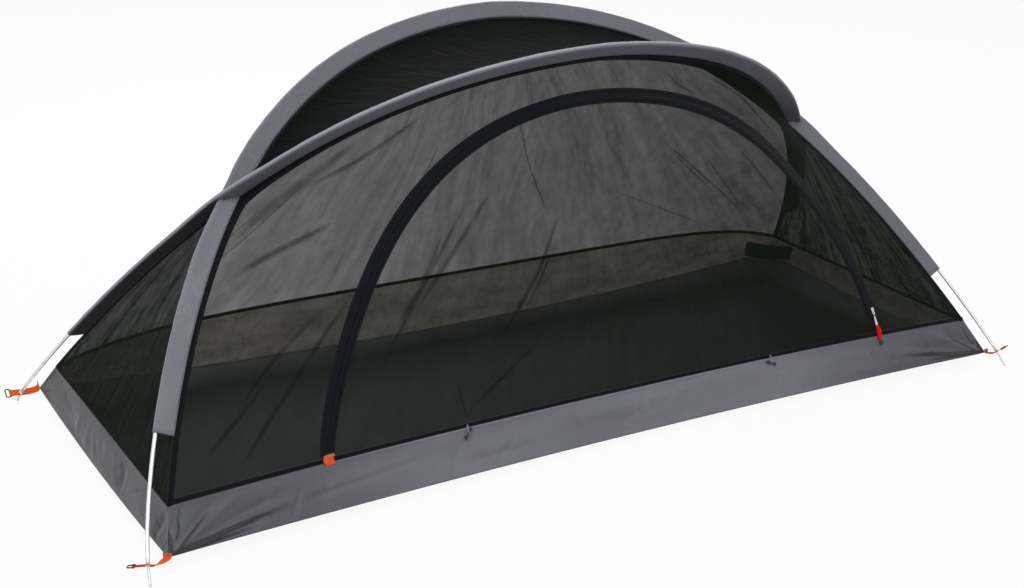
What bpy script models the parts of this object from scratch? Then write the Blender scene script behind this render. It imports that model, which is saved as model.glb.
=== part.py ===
"""A one-person mosquito net tent that stands by itself on two crossed pole hoops.

Metres, +Z up. The tent's length runs along X and its door looks towards -Y.
The origin is on the ground, under the middle of the tent.
"""

import math

import bmesh
import bpy
import numpy as np

# Hoops: each stands on two corners of one long side and leans over to the other side
POLE_SPAN = 2.400
TIP_WIDTH = 1.035
HOOP_RISE = 1.233
HOOP_LEAN_DEG = 40.32
HOOP_SWAY = 0.0098
HOOP_POWER_SHARE = 1.738
HOOP_ROUND_SHARE = 0.620
HOOP_HOOK_SHARE = -0.192
TABLE_STEPS = 6000
TABLE_CROWDING = 2.5

# Pole: seven hollow sections a hoop, each with an insert that plugs into the next
POLE_DIAMETER = 0.0085
POLE_BORE = 0.0073
INSERT_DIAMETER = 0.0067
INSERT_BORE = 0.0046
INSERT_LENGTH = 0.050
INSERT_ROOT = 0.020
SECTIONS = 7
STEPS_PER_SECTION = 6
POLE_SIDES = 8
CORD_DIAMETER = 0.0028
CORD_END_GAP = 0.006
PLUG_GAP = 0.0003

# Pole tip: a metal pin below the pole, with a knob on the ground
TIP_LENGTH = 0.050
TIP_PIN_DIAMETER = 0.0050
TIP_KNOB_DIAMETER = 0.0064
TIP_KNOB_HEIGHT = 0.0025
TIP_END_DIAMETER = 0.0030
TIP_SPIGOT_LENGTH = 0.030
TIP_SPIGOT_DIAMETER = 0.0066
TIP_SHOULDER = 0.0010

# Sleeve: a strip of fabric folded round the pole and sewn down beside it
SEAM_OFFSET = 0.040
SLEEVE_BORE = 0.0104
SLEEVE_CLOTH = 0.00085
SLEEVE_PLY = 0.0012
SLEEVE_EDGE = 0.0012
SLEEVE_END_HEIGHT = 0.223
CROSSING_CLEARANCE = 0.0005
CROSSING_REACH = 0.160
SLEEVE_STOP = 0.012
FIN_GAP = 0.004
PASSAGE_DIAMETER = 0.0094
PASSAGE_REACH = 0.030
PASSAGE_SIDES = 16
STATION_ROOM = 0.020

# Bathtub: floor and four walls of grey nylon
CLOTH = 0.0006
EDGE = 0.00055
FLOOR_CORNER_LIFT = 0.038
FLOOR_MID_LIFT = 0.022
FLOOR_BOW = 0.060
FLOOR_RAMP = 0.110
WALL_TOP_HEIGHT = 0.115
FRONT_TOP_RISE = 0.013
FRONT_TOP_BOW = 0.022
FRONT_TOP_POWER_SHARE = 2.4
REAR_TOP_RISE = 0.067
REAR_TOP_BOW = 0.004
REAR_TOP_POWER_SHARE = 6.0
LONG_STEP_SHARES = (0.0, 0.14, 0.28, 0.42, 0.56, 0.70, 0.82)
END_STEP_SHARES = (0.0, 0.28, 0.56)
BINDING_HEIGHT = 0.010
BINDING_CLOTH = 0.0012

# Net: fine mesh, modelled as a thin skin
NET = 0.0005
NET_TIP_STEP = 0.016
FACE_SPLIT = 3
FACE_ROWS = 25
RELAX_ROUNDS = 1500
NET_STEP_SHARES = (0.0, 0.33, 0.67, 1.0)
ROOF_SAG = 0.030

# Door: a D-shaped arch in the front net, with a zip round it
DOOR_CENTRE = -0.018
DOOR_LEFT_WIDTH = 0.745
DOOR_RIGHT_WIDTH = 0.831
DOOR_HEIGHT = 0.686
DOOR_LEFT_ROUND_SHARE = 1.36
DOOR_RIGHT_ROUND_SHARE = 1.91
ZIP_TAPE = 0.017
ZIP_PARTING = 0.0008
ZIP_RIDGE = 0.0042
ZIP_RIDGE_HEIGHT = 0.0024
ZIP_TAPE_CLOTH = 0.0010
DOOR_LEFT_NOTCH = 0.006
HINGE_CLEARANCE = 0.0005
DOOR_SWING_DEG = 112

# Slider, puller and pull tape at the door's right foot
SLIDER_HEIGHT_ON_TAPE = 0.058
SLIDER_LENGTH = 0.012
SLIDER_WIDTH = 0.0088
SLIDER_DEPTH = 0.0040
SLIDER_SIDE_GAP = 0.0006
SLIDER_FACE_GAP = 0.0005
SLIDER_LOOP = 0.0058
SLIDER_BAR = 0.0020
SLIDER_PRONG = 0.0017
PULLER_EYE = 0.0056
PULLER_BORE = 0.0034
PULLER_WIDTH = 0.0046
PULLER_LENGTH = 0.032
PULLER_PLATE = 0.0014
PULL_TAPE_LENGTH = 0.040
PULL_TAPE_WIDTH = 0.0075
PULL_TAPE_CLOTH = 0.0018
PULL_END_LENGTH = 0.012
PULL_END_WIDTH = 0.0090
PULL_END_DEPTH = 0.0034
PULL_WALL_GAP = 0.0028

# Tab over the zip's end at the door's left foot
END_TAB_WIDTH = 0.024
END_TAB_DROP = 0.020
END_TAB_CLOTH = 0.0008

# Toggles on elastic loops, for the rolled-down door
TOGGLE_PLACE_SHARES = (-0.377, 0.404)
TOGGLE_LENGTH = 0.030
TOGGLE_DIAMETER = 0.0066
TOGGLE_WAIST = 0.0036
TOGGLE_WAIST_LENGTH = 0.0034
TOGGLE_CORD = 0.0018
TOGGLE_LOOP_GAP = 0.0003
TOGGLE_LOOP_LENGTH = 0.017
TOGGLE_WALL_GAP = 0.0004
TOGGLE_DROP = 0.0060
LOOP_TURN_STEPS = 6

# Corner hardware: webbing tab, grommet and peg ring
TAB_WIDTH = 0.016
TAB_CLOTH = 0.0014
TAB_REACH = 0.030
TAB_LOOP = 0.0068
TAB_LOOP_BORE = 0.0040
TAB_HOLE = 0.0074
TAB_CORNER_GAP = 0.0012
GROMMET_BORE = 0.0058
GROMMET_BARREL = 0.0066
GROMMET_FLANGE = 0.0124
GROMMET_FLANGE_PLY = 0.0005
GROMMET_GAP = 0.0003
GROMMET_SIDES = 12
RING_WIRE = 0.0028
RING_WIDTH = 0.0215
RING_DEPTH = 0.0120
RING_CORNER = 0.0035
RING_CORNER_STEPS = 3

# Pocket inside the rear-right corner
POCKET_FLOOR_GAP = 0.012
POCKET_TOP_GAP = 0.008
POCKET_CLOTH = 0.0008
POCKET_WALL_GAP = 0.0012

# Reach of cutters past what they cut
OVERRUN = 0.002

REST, FRONT, REAR, LEFT, RIGHT = 0, -1, 1, -1, 1
LEAN = math.radians(HOOP_LEAN_DEG)


def clear_scene():
    for item in list(bpy.data.objects):
        bpy.data.objects.remove(item, do_unlink=True)


def new_collection(name):
    collection = bpy.data.collections.new(name)
    bpy.context.scene.collection.children.link(collection)
    return collection


clear_scene()
PARTS = new_collection("mosquito_net_tent")
CUTTERS = new_collection("cutters")


def material(name, colour, roughness, metallic=0.0):
    made = bpy.data.materials.new(name)
    made.use_nodes = True
    shader = made.node_tree.nodes["Principled BSDF"]
    shader.inputs["Base Color"].default_value = (*colour, 1.0)
    shader.inputs["Roughness"].default_value = roughness
    shader.inputs["Metallic"].default_value = metallic
    made.diffuse_color = (*colour, 1.0)
    return made


def bare_object(name, mesh, finish, collection):
    made = bpy.data.objects.new(name, mesh)
    mesh.materials.append(finish())
    collection.objects.link(made)
    return made


def mesh_object(name, points, faces, finish, collection=None, closed=True):
    """An object from points and faces, with its faces turned outward where it is closed."""
    shape = bmesh.new()
    corners = [shape.verts.new(tuple(float(v) for v in point)) for point in points]
    for face in faces:
        shape.faces.new([corners[i] for i in face])
    if closed:
        bmesh.ops.recalc_face_normals(shape, faces=shape.faces)
    mesh = bpy.data.meshes.new(name)
    shape.to_mesh(mesh)
    shape.free()
    mesh.shade_smooth()
    mesh.set_sharp_from_angle(angle=math.radians(35))
    return bare_object(name, mesh, finish, collection or PARTS)


def skin_of(rings):
    """Points and faces of one closed body: rings of equal length, the last joined to the first."""
    count = len(rings[0])
    points = [point for ring in rings for point in ring]
    faces = []
    for r in range(len(rings)):
        after = (r + 1) % len(rings)
        for k in range(count):
            right = (k + 1) % count
            faces.append((r * count + k, r * count + right, after * count + right, after * count + k))
    return points, faces


def capped_skin_of(rings):
    """Points and faces of a solid bar: rings of equal length with a face at each end."""
    count = len(rings[0])
    points, faces = skin_of(rings)
    faces = faces[: (len(rings) - 1) * count]
    faces.append(tuple(range(count)))
    faces.append(tuple((len(rings) - 1) * count + k for k in range(count)))
    return points, faces


def sheet_object(name, rows, thickness, finish):
    """A thin skin: an open grid of points with its thickness laid evenly on both sides."""
    rows = [[tuple(point) for point in row] for row in rows]
    width = len(rows[0])
    points = [point for row in rows for point in row]
    faces = []
    for r in range(len(rows) - 1):
        for k in range(width - 1):
            here = r * width + k
            faces.append((here, here + 1, here + width + 1, here + width))
    made = mesh_object(name, points, faces, finish, closed=False)
    solid = made.modifiers.new("thickness", "SOLIDIFY")
    solid.thickness = thickness
    solid.offset = 0.0
    solid.use_even_offset = True
    return made


def box_object(name, low, high, frame, finish, collection=None):
    """A box between two corners of a frame, which is an origin and three unit vectors."""
    origin, first, second, third = frame
    points = []
    for a in (low[0], high[0]):
        for b in (low[1], high[1]):
            for c in (low[2], high[2]):
                points.append(origin + a * first + b * second + c * third)
    faces = [(0, 1, 3, 2), (4, 6, 7, 5), (0, 4, 5, 1), (2, 3, 7, 6), (0, 2, 6, 4), (1, 5, 7, 3)]
    return mesh_object(name, points, faces, finish, collection)


def wire_object(name, path, diameter, finish, cyclic=False, resolution=1):
    """A round wire or cord along a list of points."""
    curve = bpy.data.curves.new(name, "CURVE")
    curve.dimensions = "3D"
    curve.bevel_depth = diameter / 2
    curve.bevel_resolution = resolution
    curve.use_fill_caps = True
    spline = curve.splines.new("POLY")
    spline.points.add(len(path) - 1)
    for point, place in zip(spline.points, path):
        point.co = (*(float(v) for v in place), 1.0)
    spline.use_cyclic_u = cyclic
    curve.materials.append(finish())
    made = bpy.data.objects.new(name, curve)
    PARTS.objects.link(made)
    return made


def cut_by(target, cutter, operation="DIFFERENCE"):
    cutter.hide_render = True
    cutter.display_type = "WIRE"
    made = target.modifiers.new(operation.lower(), "BOOLEAN")
    made.operation = operation
    made.object = cutter


def unit(vector):
    vector = np.asarray(vector, float)
    return vector / np.linalg.norm(vector, axis=-1, keepdims=True)


# Finishes, one for each part's own material


def grey_nylon():
    return material("grey_nylon", (0.20, 0.20, 0.22), 0.62)


def black_net():
    return material("black_net", (0.025, 0.028, 0.026), 0.75)


def black_tape():
    return material("black_tape", (0.020, 0.022, 0.026), 0.70)


def silver_alloy():
    return material("silver_alloy", (0.80, 0.80, 0.81), 0.30, 0.9)


def white_elastic():
    return material("white_elastic", (0.75, 0.75, 0.74), 0.80)


def orange_webbing():
    return material("orange_webbing", (0.85, 0.13, 0.03), 0.72)


def red_tape():
    return material("red_tape", (0.62, 0.01, 0.012), 0.65)


def black_plastic():
    return material("black_plastic", (0.018, 0.018, 0.020), 0.45)


def grey_elastic():
    return material("grey_elastic", (0.45, 0.45, 0.46), 0.78)


class Hoop:
    """One pole hoop. side is the long side that its arch leans over: REAR or FRONT."""

    def __init__(self, side):
        self.side = side
        self.rise_axis = np.array([0.0, side * math.sin(LEAN), math.cos(LEAN)])
        self.flat_normal = np.cross([1.0, 0.0, 0.0], self.rise_axis)
        self.measure()
        self.find_marks()
        self.settle_stations()

    def measure(self):
        """A fine table of arc length against place, counted from the middle of the arch."""
        even = np.linspace(-1.0, 1.0, TABLE_STEPS + 1)
        across = np.sign(even) * (1.0 - (1.0 - np.abs(even)) ** TABLE_CROWDING)
        rise = (1.0 - np.abs(across) ** HOOP_POWER_SHARE) ** HOOP_ROUND_SHARE
        rise = rise + 4.0 * HOOP_HOOK_SHARE * rise * (1.0 - rise) * (0.5 - rise)
        sway = 8.0 * HOOP_SWAY * rise * (1.0 - rise) * (0.5 - rise)
        up = HOOP_RISE * rise
        depth = -TIP_WIDTH / 2 + up * math.sin(LEAN) + sway * math.cos(LEAN)
        height = up * math.cos(LEAN) - sway * math.sin(LEAN)
        self.table = np.stack([across * POLE_SPAN / 2, self.side * depth, height], -1)
        steps = np.linalg.norm(np.diff(self.table, axis=0), axis=1)
        lengths = np.concatenate([[0.0], np.cumsum(steps)])
        self.half = lengths[-1] / 2
        self.lengths = lengths - self.half
        tangent = unit(np.gradient(self.table, axis=0))
        inward = unit(np.cross(self.flat_normal, tangent))
        turned = np.where(inward @ self.rise_axis > 0, -1.0, 1.0)
        self.seam_table = self.table + SEAM_OFFSET * inward * turned[:, None]

    def read(self, table, place):
        return np.array([np.interp(place, self.lengths, table[:, k]) for k in range(3)])

    def axis_point(self, place):
        return self.read(self.table, place)

    def seam_point(self, place):
        return self.read(self.seam_table, place)

    def place_where(self, table, column, value):
        """How far from the middle a leg of the hoop reaches a height or a depth."""
        leg = self.lengths < 0
        found = np.argmin(np.abs(table[leg][:, column] - value))
        return -self.lengths[leg][found]

    def find_marks(self):
        self.at_wall_top = self.place_where(self.seam_table, 2, WALL_TOP_HEIGHT)
        self.at_floor = self.place_where(self.seam_table, 2, FLOOR_CORNER_LIFT)
        self.at_sleeve_end = self.place_where(self.seam_table, 2, SLEEVE_END_HEIGHT)
        self.seams_cross = self.place_where(self.seam_table, 1, 0.0)
        self.poles_cross = self.place_where(self.table, 1, 0.0)
        self.sleeve_stop = self.poles_cross + SLEEVE_STOP

    def settle_stations(self):
        """The places along the hoop where every piece that follows it bends."""
        section = 2 * self.half / SECTIONS
        joints = [-self.half + k * section for k in range(SECTIONS + 1)]
        steps = SECTIONS * STEPS_PER_SECTION
        even = [-self.half + k * 2 * self.half / steps for k in range(steps + 1)]
        marks = [self.at_wall_top, self.at_sleeve_end, self.seams_cross, self.poles_cross]
        marks.append(self.sleeve_stop)
        marks += [-mark for mark in marks] + joints
        kept = [e for e in even if min(abs(e - mark) for mark in marks) > STATION_ROOM]
        self.joints = joints
        self.stations = np.array(sorted(set(round(place, 6) for place in kept + marks)))
        self.centres = np.array([self.pole_centre(place) for place in self.stations])
        tangents = unit(np.gradient(self.centres, axis=0))
        seams = np.array([self.seam_point(place) for place in self.stations])
        normals = unit(np.cross(tangents, seams - self.centres))
        self.insides = unit(np.cross(normals, tangents))

    def pole_centre(self, place):
        """The pole's axis, moved apart from the other pole's where the two cross."""
        near = (abs(place) - self.poles_cross) / CROSSING_REACH
        if abs(near) >= 1.0:
            return self.axis_point(place)
        runs_outside = (place < 0) == (self.side == FRONT)
        reach = (POLE_DIAMETER + SLEEVE_BORE) / 2 + SLEEVE_CLOTH + CROSSING_CLEARANCE
        share = math.cos(near * math.pi / 2) ** 2 / 2
        slope = unit(self.axis_point(-self.poles_cross + EDGE) - self.axis_point(-self.poles_cross))
        outward = unit(np.array([-slope[2], 0.0, slope[0]]))
        outward[0] *= 1.0 if place < 0 else -1.0
        return self.axis_point(place) + outward * reach * share * (1.0 if runs_outside else -1.0)

    def frame(self, place):
        """Centre, direction along the pole, direction towards the seam, and their normal."""
        centre = np.array([np.interp(place, self.stations, self.centres[:, k]) for k in range(3)])
        inside = np.array([np.interp(place, self.stations, self.insides[:, k]) for k in range(3)])
        k = int(np.clip(np.searchsorted(self.stations, place), 1, len(self.stations) - 1))
        if abs(self.stations[k] - place) < PLUG_GAP and k + 1 < len(self.stations):
            along = unit(self.centres[k + 1] - self.centres[k - 1])
        else:
            along = unit(self.centres[k] - self.centres[k - 1])
        normal = unit(np.cross(along, inside))
        return centre, along, unit(np.cross(normal, along)), normal

    def ring(self, place, diameter, sides=POLE_SIDES):
        centre, _, inside, normal = self.frame(place)
        turns = [2 * math.pi * k / sides for k in range(sides)]
        radius = diameter / 2
        return [centre + radius * (math.cos(t) * inside + math.sin(t) * normal) for t in turns]

    def between(self, low, high):
        inner = [s for s in self.stations if low + PLUG_GAP < s < high - PLUG_GAP]
        return [low, *inner, high]


HOOPS = {REAR: Hoop(REAR), FRONT: Hoop(FRONT)}
HOOP_NAMES = {REAR: "rear_arch", FRONT: "front_arch"}
LEG_NAMES = {(FRONT, LEFT): "front_left", (FRONT, RIGHT): "front_right",
             (REAR, LEFT): "rear_left", (REAR, RIGHT): "rear_right"}


def add_pole_section(hoop, index):
    """A hollow section. All but the last end in a thinner insert, which plugs into the next."""
    low = hoop.joints[index] if index else -hoop.half + TIP_LENGTH
    last = index == SECTIONS - 1
    high = hoop.half - TIP_LENGTH if last else hoop.joints[index + 1] - PLUG_GAP
    places = hoop.between(low, high)
    rings = [hoop.ring(place, POLE_DIAMETER) for place in places]
    if not last:
        tip = hoop.joints[index + 1] + INSERT_LENGTH
        rings += [hoop.ring(high, INSERT_DIAMETER), hoop.ring(tip, INSERT_DIAMETER)]
        bend = hoop.joints[index + 1]
        rings += [hoop.ring(place, INSERT_BORE) for place in (tip, bend, high - INSERT_ROOT)]
        rings += [hoop.ring(high - INSERT_ROOT, POLE_BORE)]
        places = hoop.between(low, high - INSERT_ROOT)[:-1]
    rings += [hoop.ring(place, POLE_BORE) for place in reversed(places)]
    name = f"{HOOP_NAMES[hoop.side]}_pole_section_{index + 1}"
    mesh_object(name, *skin_of(rings), silver_alloy)


def add_shock_cord(hoop):
    reach = hoop.half - TIP_LENGTH - TIP_SPIGOT_LENGTH - CORD_END_GAP
    path = [hoop.frame(place)[0] for place in hoop.between(-reach, reach)]
    wire_object(f"{HOOP_NAMES[hoop.side]}_shock_cord", path, CORD_DIAMETER, white_elastic)


def add_pole_tip(hoop, end):
    """A pin with a knob at the ground and a spigot in the pole, turned round the leg's axis."""
    lift = math.tan(LEAN) * TIP_END_DIAMETER / 2
    outline = [(lift, TIP_END_DIAMETER), (lift + TIP_KNOB_HEIGHT, TIP_KNOB_DIAMETER)]
    outline += [(lift + 2 * TIP_KNOB_HEIGHT, TIP_PIN_DIAMETER)]
    outline += [(TIP_LENGTH - 2 * TIP_SHOULDER, TIP_PIN_DIAMETER)]
    outline += [(TIP_LENGTH - TIP_SHOULDER, POLE_DIAMETER), (TIP_LENGTH - PLUG_GAP, POLE_DIAMETER)]
    outline += [(TIP_LENGTH - PLUG_GAP, TIP_SPIGOT_DIAMETER)]
    outline += [(TIP_LENGTH + TIP_SPIGOT_LENGTH, TIP_SPIGOT_DIAMETER)]
    rings = [hoop.ring(end * (hoop.half - up), wide) for up, wide in outline]
    name = f"pole_tip_{LEG_NAMES[(-hoop.side, end)]}"
    mesh_object(name, *capped_skin_of(rings), silver_alloy)


def keyhole(tail, eye, bore, ply):
    """Outer and inner outline of a strip folded round a bar: an eye with a flat tail of two plies."""
    turns = [math.radians(60 * k) for k in range(1, 6)]
    lean = math.asin(ply / eye)
    outer = [(tail, ply / 2), (math.cos(lean) * eye / 2, ply / 2)]
    outer += [(math.cos(t) * eye / 2, math.sin(t) * eye / 2) for t in turns]
    outer += [(math.cos(lean) * eye / 2, -ply / 2), (tail, -ply / 2)]
    small = (lean / 3, lean)
    inner = [(math.cos(t) * bore / 2, math.sin(t) * bore / 2) for t in (*small, *turns)]
    inner += [(math.cos(t) * bore / 2, -math.sin(t) * bore / 2) for t in reversed(small)]
    return outer, inner


def add_sleeve(name, hoop, low, high, seam_low, seam_high):
    """A sleeve along part of a hoop. Its sewn edge can end at another place than its eye."""
    outer_rings, inner_rings = [], []
    eye = SLEEVE_BORE + 2 * SLEEVE_CLOTH
    for place in hoop.between(low, high):
        centre, _, inside, normal = hoop.frame(place)
        seam = hoop.seam_point({low: seam_low, high: seam_high}.get(place, place))
        tail = np.linalg.norm(seam - centre) - SLEEVE_EDGE
        towards = unit(seam - centre)
        outer, inner = keyhole(tail, eye, SLEEVE_BORE, SLEEVE_PLY)
        edge = [centre + a * towards + b * normal for a, b in (outer[0], outer[-1])]
        ring = [centre + a * inside + b * normal for a, b in outer]
        outer_rings.append([edge[0], *ring[1:-1], edge[1]])
        inner_rings.append([centre + a * inside + b * normal for a, b in inner])
    return mesh_object(name, *skin_of(outer_rings + inner_rings[::-1]), grey_nylon)


def cut_passage(sleeve, hoop, place):
    """A hole through a sleeve's sewn strip, where another hoop's bare pole passes."""
    places = hoop.between(place - PASSAGE_REACH, place + PASSAGE_REACH)
    rings = [hoop.ring(p, PASSAGE_DIAMETER, PASSAGE_SIDES) for p in places]
    cutter = mesh_object(f"{sleeve.name}_passage", *capped_skin_of(rings), grey_nylon, CUTTERS)
    cut_by(sleeve, cutter)


def add_hoops():
    for side, hoop in HOOPS.items():
        for index in range(SECTIONS):
            add_pole_section(hoop, index)
        add_shock_cord(hoop)
        for end in (LEFT, RIGHT):
            add_pole_tip(hoop, end)
    front, rear = HOOPS[FRONT], HOOPS[REAR]
    end, stop, start = front.at_sleeve_end, front.sleeve_stop - FIN_GAP, front.seams_cross
    seam_stop, seam_start = front.seams_cross + FIN_GAP, front.seams_cross - FIN_GAP
    sleeve = add_sleeve("front_arch_sleeve", front, -end, start, -end, seam_start)
    cut_passage(sleeve, rear, -rear.poles_cross)
    add_sleeve("rear_right_leg_sleeve", front, stop, end, seam_stop, end)
    sleeve = add_sleeve("rear_arch_sleeve", rear, -start, end, -seam_start, end)
    cut_passage(sleeve, front, front.poles_cross)
    add_sleeve("front_left_leg_sleeve", rear, -end, -stop, -end, -seam_stop)


# Bathtub outline: corners on the hoops' seam lines
SEAM = HOOPS[REAR]
FLOOR_CORNER = np.abs(SEAM.seam_point(-SEAM.at_floor))
TOP_CORNER = np.abs(SEAM.seam_point(-SEAM.at_wall_top))


def floor_edge(u, v):
    """A point of the floor's outline. One of u and v is -1 or 1."""
    far = abs(u) if abs(v) >= 1.0 else abs(v)
    height = FLOOR_MID_LIFT + (FLOOR_CORNER_LIFT - FLOOR_MID_LIFT) * far**2
    depth = v * (FLOOR_CORNER[1] - FLOOR_BOW * (1.0 - u**2))
    return np.array([u * FLOOR_CORNER[0], depth, height])


def long_top_edge(side, u):
    """The wall's top edge along a long side: it rises and draws in towards its middle."""
    if side == FRONT:
        rise, bow, power = FRONT_TOP_RISE, FRONT_TOP_BOW, FRONT_TOP_POWER_SHARE
    else:
        rise, bow, power = REAR_TOP_RISE, REAR_TOP_BOW, REAR_TOP_POWER_SHARE
    swell = 1.0 - abs(u) ** power
    depth = side * (TOP_CORNER[1] - bow * swell)
    return np.array([u * TOP_CORNER[0], depth, WALL_TOP_HEIGHT + rise * swell])


def end_top_edge(side, v):
    return np.array([side * TOP_CORNER[0], v * TOP_CORNER[1], WALL_TOP_HEIGHT])


def drawn_in(first, second, by):
    """first, moved towards second by a length."""
    return first + unit(second - first) * by


def strip_rows(low_points, high_points, shares):
    """Rows between two edges, each drawn in by the seam allowance."""
    rows = []
    for share in shares:
        row = []
        for low, high in zip(low_points, high_points):
            bottom, top = drawn_in(low, high, EDGE), drawn_in(high, low, EDGE)
            row.append(bottom + (top - bottom) * share)
        rows.append(row)
    return rows


def mirrored_shares(shares, end):
    half = [*shares, end]
    return [-share for share in half[:0:-1]] + half


def wall_steps(length, shares):
    """Shares along a wall, closer together where the floor ramps up, and clear of the corners."""
    ramp = 1.0 - FLOOR_RAMP / length
    inner = [share for share in shares if share < ramp - EDGE / length]
    half = (1.0 + ramp) / 2
    return mirrored_shares([*inner, ramp, half], 1.0 - 2 * EDGE / length)


LONG_SHARES = wall_steps(FLOOR_CORNER[0], LONG_STEP_SHARES)
END_SHARES = wall_steps(FLOOR_CORNER[1], END_STEP_SHARES)


def long_wall_rows(side):
    low = [floor_edge(u, side) for u in LONG_SHARES]
    high = [long_top_edge(side, u) for u in LONG_SHARES]
    return strip_rows(low, high, (0.0, 0.5, 1.0))


def end_wall_rows(side):
    low = [floor_edge(side, v) for v in END_SHARES]
    high = [end_top_edge(side, v) for v in END_SHARES]
    return strip_rows(low, high, (0.0, 0.5, 1.0))


def floor_height(u, v):
    """The floor lies flat on the ground and ramps up to its lifted edges."""
    near_long = 1.0 - (1.0 - abs(v)) * FLOOR_CORNER[1] / FLOOR_RAMP
    near_end = 1.0 - (1.0 - abs(u)) * FLOOR_CORNER[0] / FLOOR_RAMP
    by_long = floor_edge(u, 1.0)[2] * max(near_long, 0.0) ** 2
    by_end = floor_edge(1.0, v)[2] * max(near_end, 0.0) ** 2
    return CLOTH / 2 + max(by_long, by_end)


def add_bathtub():
    rows = []
    for v in END_SHARES:
        row = []
        for u in LONG_SHARES:
            edge = floor_edge(u, 1.0)
            row.append((edge[0], v * edge[1], floor_height(u, v)))
        rows.append(row)
    sheet_object("floor_sheet", rows, CLOTH, grey_nylon)
    sheet_object("front_wall", long_wall_rows(FRONT), CLOTH, grey_nylon)
    sheet_object("rear_wall", long_wall_rows(REAR), CLOTH, grey_nylon)
    sheet_object("left_wall", end_wall_rows(LEFT), CLOTH, grey_nylon)
    sheet_object("right_wall", end_wall_rows(RIGHT), CLOTH, grey_nylon)


def relax(values, across, along):
    """Settles a skin's inner points between its fixed edges, as a stretched net settles."""
    pull_across = 1.0 / across**2 * np.ones_like(values)
    pull_along = 1.0 / along**2 * np.ones_like(values)
    near_across, near_along = pull_across[1:-1, 1:-1], pull_along[1:-1, 1:-1]
    total = 2 * (near_across + near_along)
    for _ in range(RELAX_ROUNDS):
        beside = values[1:-1, 2:] + values[1:-1, :-2]
        above = values[2:, 1:-1] + values[:-2, 1:-1]
        values[1:-1, 1:-1] = (near_across * beside + near_along * above) / total
    return values


def seam_places():
    """Places along a hoop where the net's edge bends, from the wall top up to the crossing."""
    hoop = HOOPS[REAR]
    low, high = -hoop.at_wall_top, -hoop.seams_cross
    leg = [s for s in hoop.between(-hoop.at_sleeve_end, high) if abs(-s - hoop.poles_cross) > EDGE]
    leg = [low, *leg]
    arch = hoop.between(high, -high)[1:-1]
    return leg, [high + NET_TIP_STEP, *arch, -high - NET_TIP_STEP]


LEG_PLACES, ARCH_PLACES = seam_places()


def upper_edge(side):
    """The upper outline of a long net: up one leg's seam, over the arch's and down the other leg's."""
    leg_hoop, arch_hoop = HOOPS[-side], HOOPS[side]
    left = [leg_hoop.seam_point(place) for place in LEG_PLACES]
    arch = [arch_hoop.seam_point(place) for place in ARCH_PLACES]
    right = [point * (-1.0, 1.0, 1.0) for point in left[::-1]]
    return np.array(left + arch + right)


class LongFace:
    """The skin of a long side. It gives the depth at any place seen square on from that side."""

    def __init__(self, side):
        self.side = side
        top = upper_edge(side)
        columns = [top[0, 0]]
        for low, high in zip(top[:-1, 0], top[1:, 0]):
            columns += [low + (high - low) * (k + 1) / FACE_SPLIT for k in range(FACE_SPLIT)]
        self.columns = np.array(columns)
        self.top = np.interp(self.columns, top[:, 0], top[:, 2])
        top_depth = np.interp(self.columns, top[:, 0], top[:, 1])
        low = np.array([long_top_edge(side, x / TOP_CORNER[0]) for x in self.columns])
        self.bottom = low[:, 2]
        shares = np.linspace(0.0, 1.0, FACE_ROWS)[:, None]
        depth = low[:, 1] + (top_depth - low[:, 1]) * shares
        across = np.gradient(self.columns)[None, :]
        along = np.maximum((self.top - self.bottom) / (FACE_ROWS - 1), EDGE)[None, :]
        self.depth = relax(depth, across, along)

    def point(self, x, z):
        low = np.interp(x, self.columns, self.bottom)
        high = np.interp(x, self.columns, self.top)
        v = float(np.clip((z - low) / max(high - low, EDGE), 0.0, 1.0)) * (FACE_ROWS - 1)
        u = float(np.interp(x, self.columns, np.arange(len(self.columns))))
        i, j = min(int(u), len(self.columns) - 2), min(int(v), FACE_ROWS - 2)
        a, b = u - i, v - j
        lower = self.depth[j, i] * (1 - a) + self.depth[j, i + 1] * a
        upper = self.depth[j + 1, i] * (1 - a) + self.depth[j + 1, i + 1] * a
        return np.array([x, lower * (1 - b) + upper * b, z])

    def outward(self, x, z):
        low = max(z - ZIP_TAPE, np.interp(x, self.columns, self.bottom))
        along_x = self.point(x + ZIP_TAPE, z) - self.point(x - ZIP_TAPE, z)
        along_z = self.point(x, z + ZIP_TAPE) - self.point(x, low)
        return unit(np.cross(along_x, along_z)) * -self.side

    def off(self, x, z, by):
        return self.point(x, z) + self.outward(x, z) * by


FACES = {FRONT: LongFace(FRONT), REAR: LongFace(REAR)}


def binding_top(x):
    return long_top_edge(FRONT, x / TOP_CORNER[0])[2] + BINDING_HEIGHT


def add_front_binding():
    rows = []
    for low, high in ((EDGE, 0.0), (0.0, 0.0)):
        row = []
        for u in LONG_SHARES:
            x = u * TOP_CORNER[0]
            edge = long_top_edge(FRONT, u)
            height = edge[2] + low if low else binding_top(x) - EDGE / 2
            row.append(FACES[FRONT].point(x, height))
        rows.append(row)
    sheet_object("front_binding", rows, BINDING_CLOTH, black_tape)


# Door outline: an arch on the front face that stands on the binding
DOOR_FEET = [DOOR_CENTRE - DOOR_LEFT_WIDTH, DOOR_CENTRE + DOOR_RIGHT_WIDTH]
DOOR_SILL = max(binding_top(x) for x in DOOR_FEET) + EDGE


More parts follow.
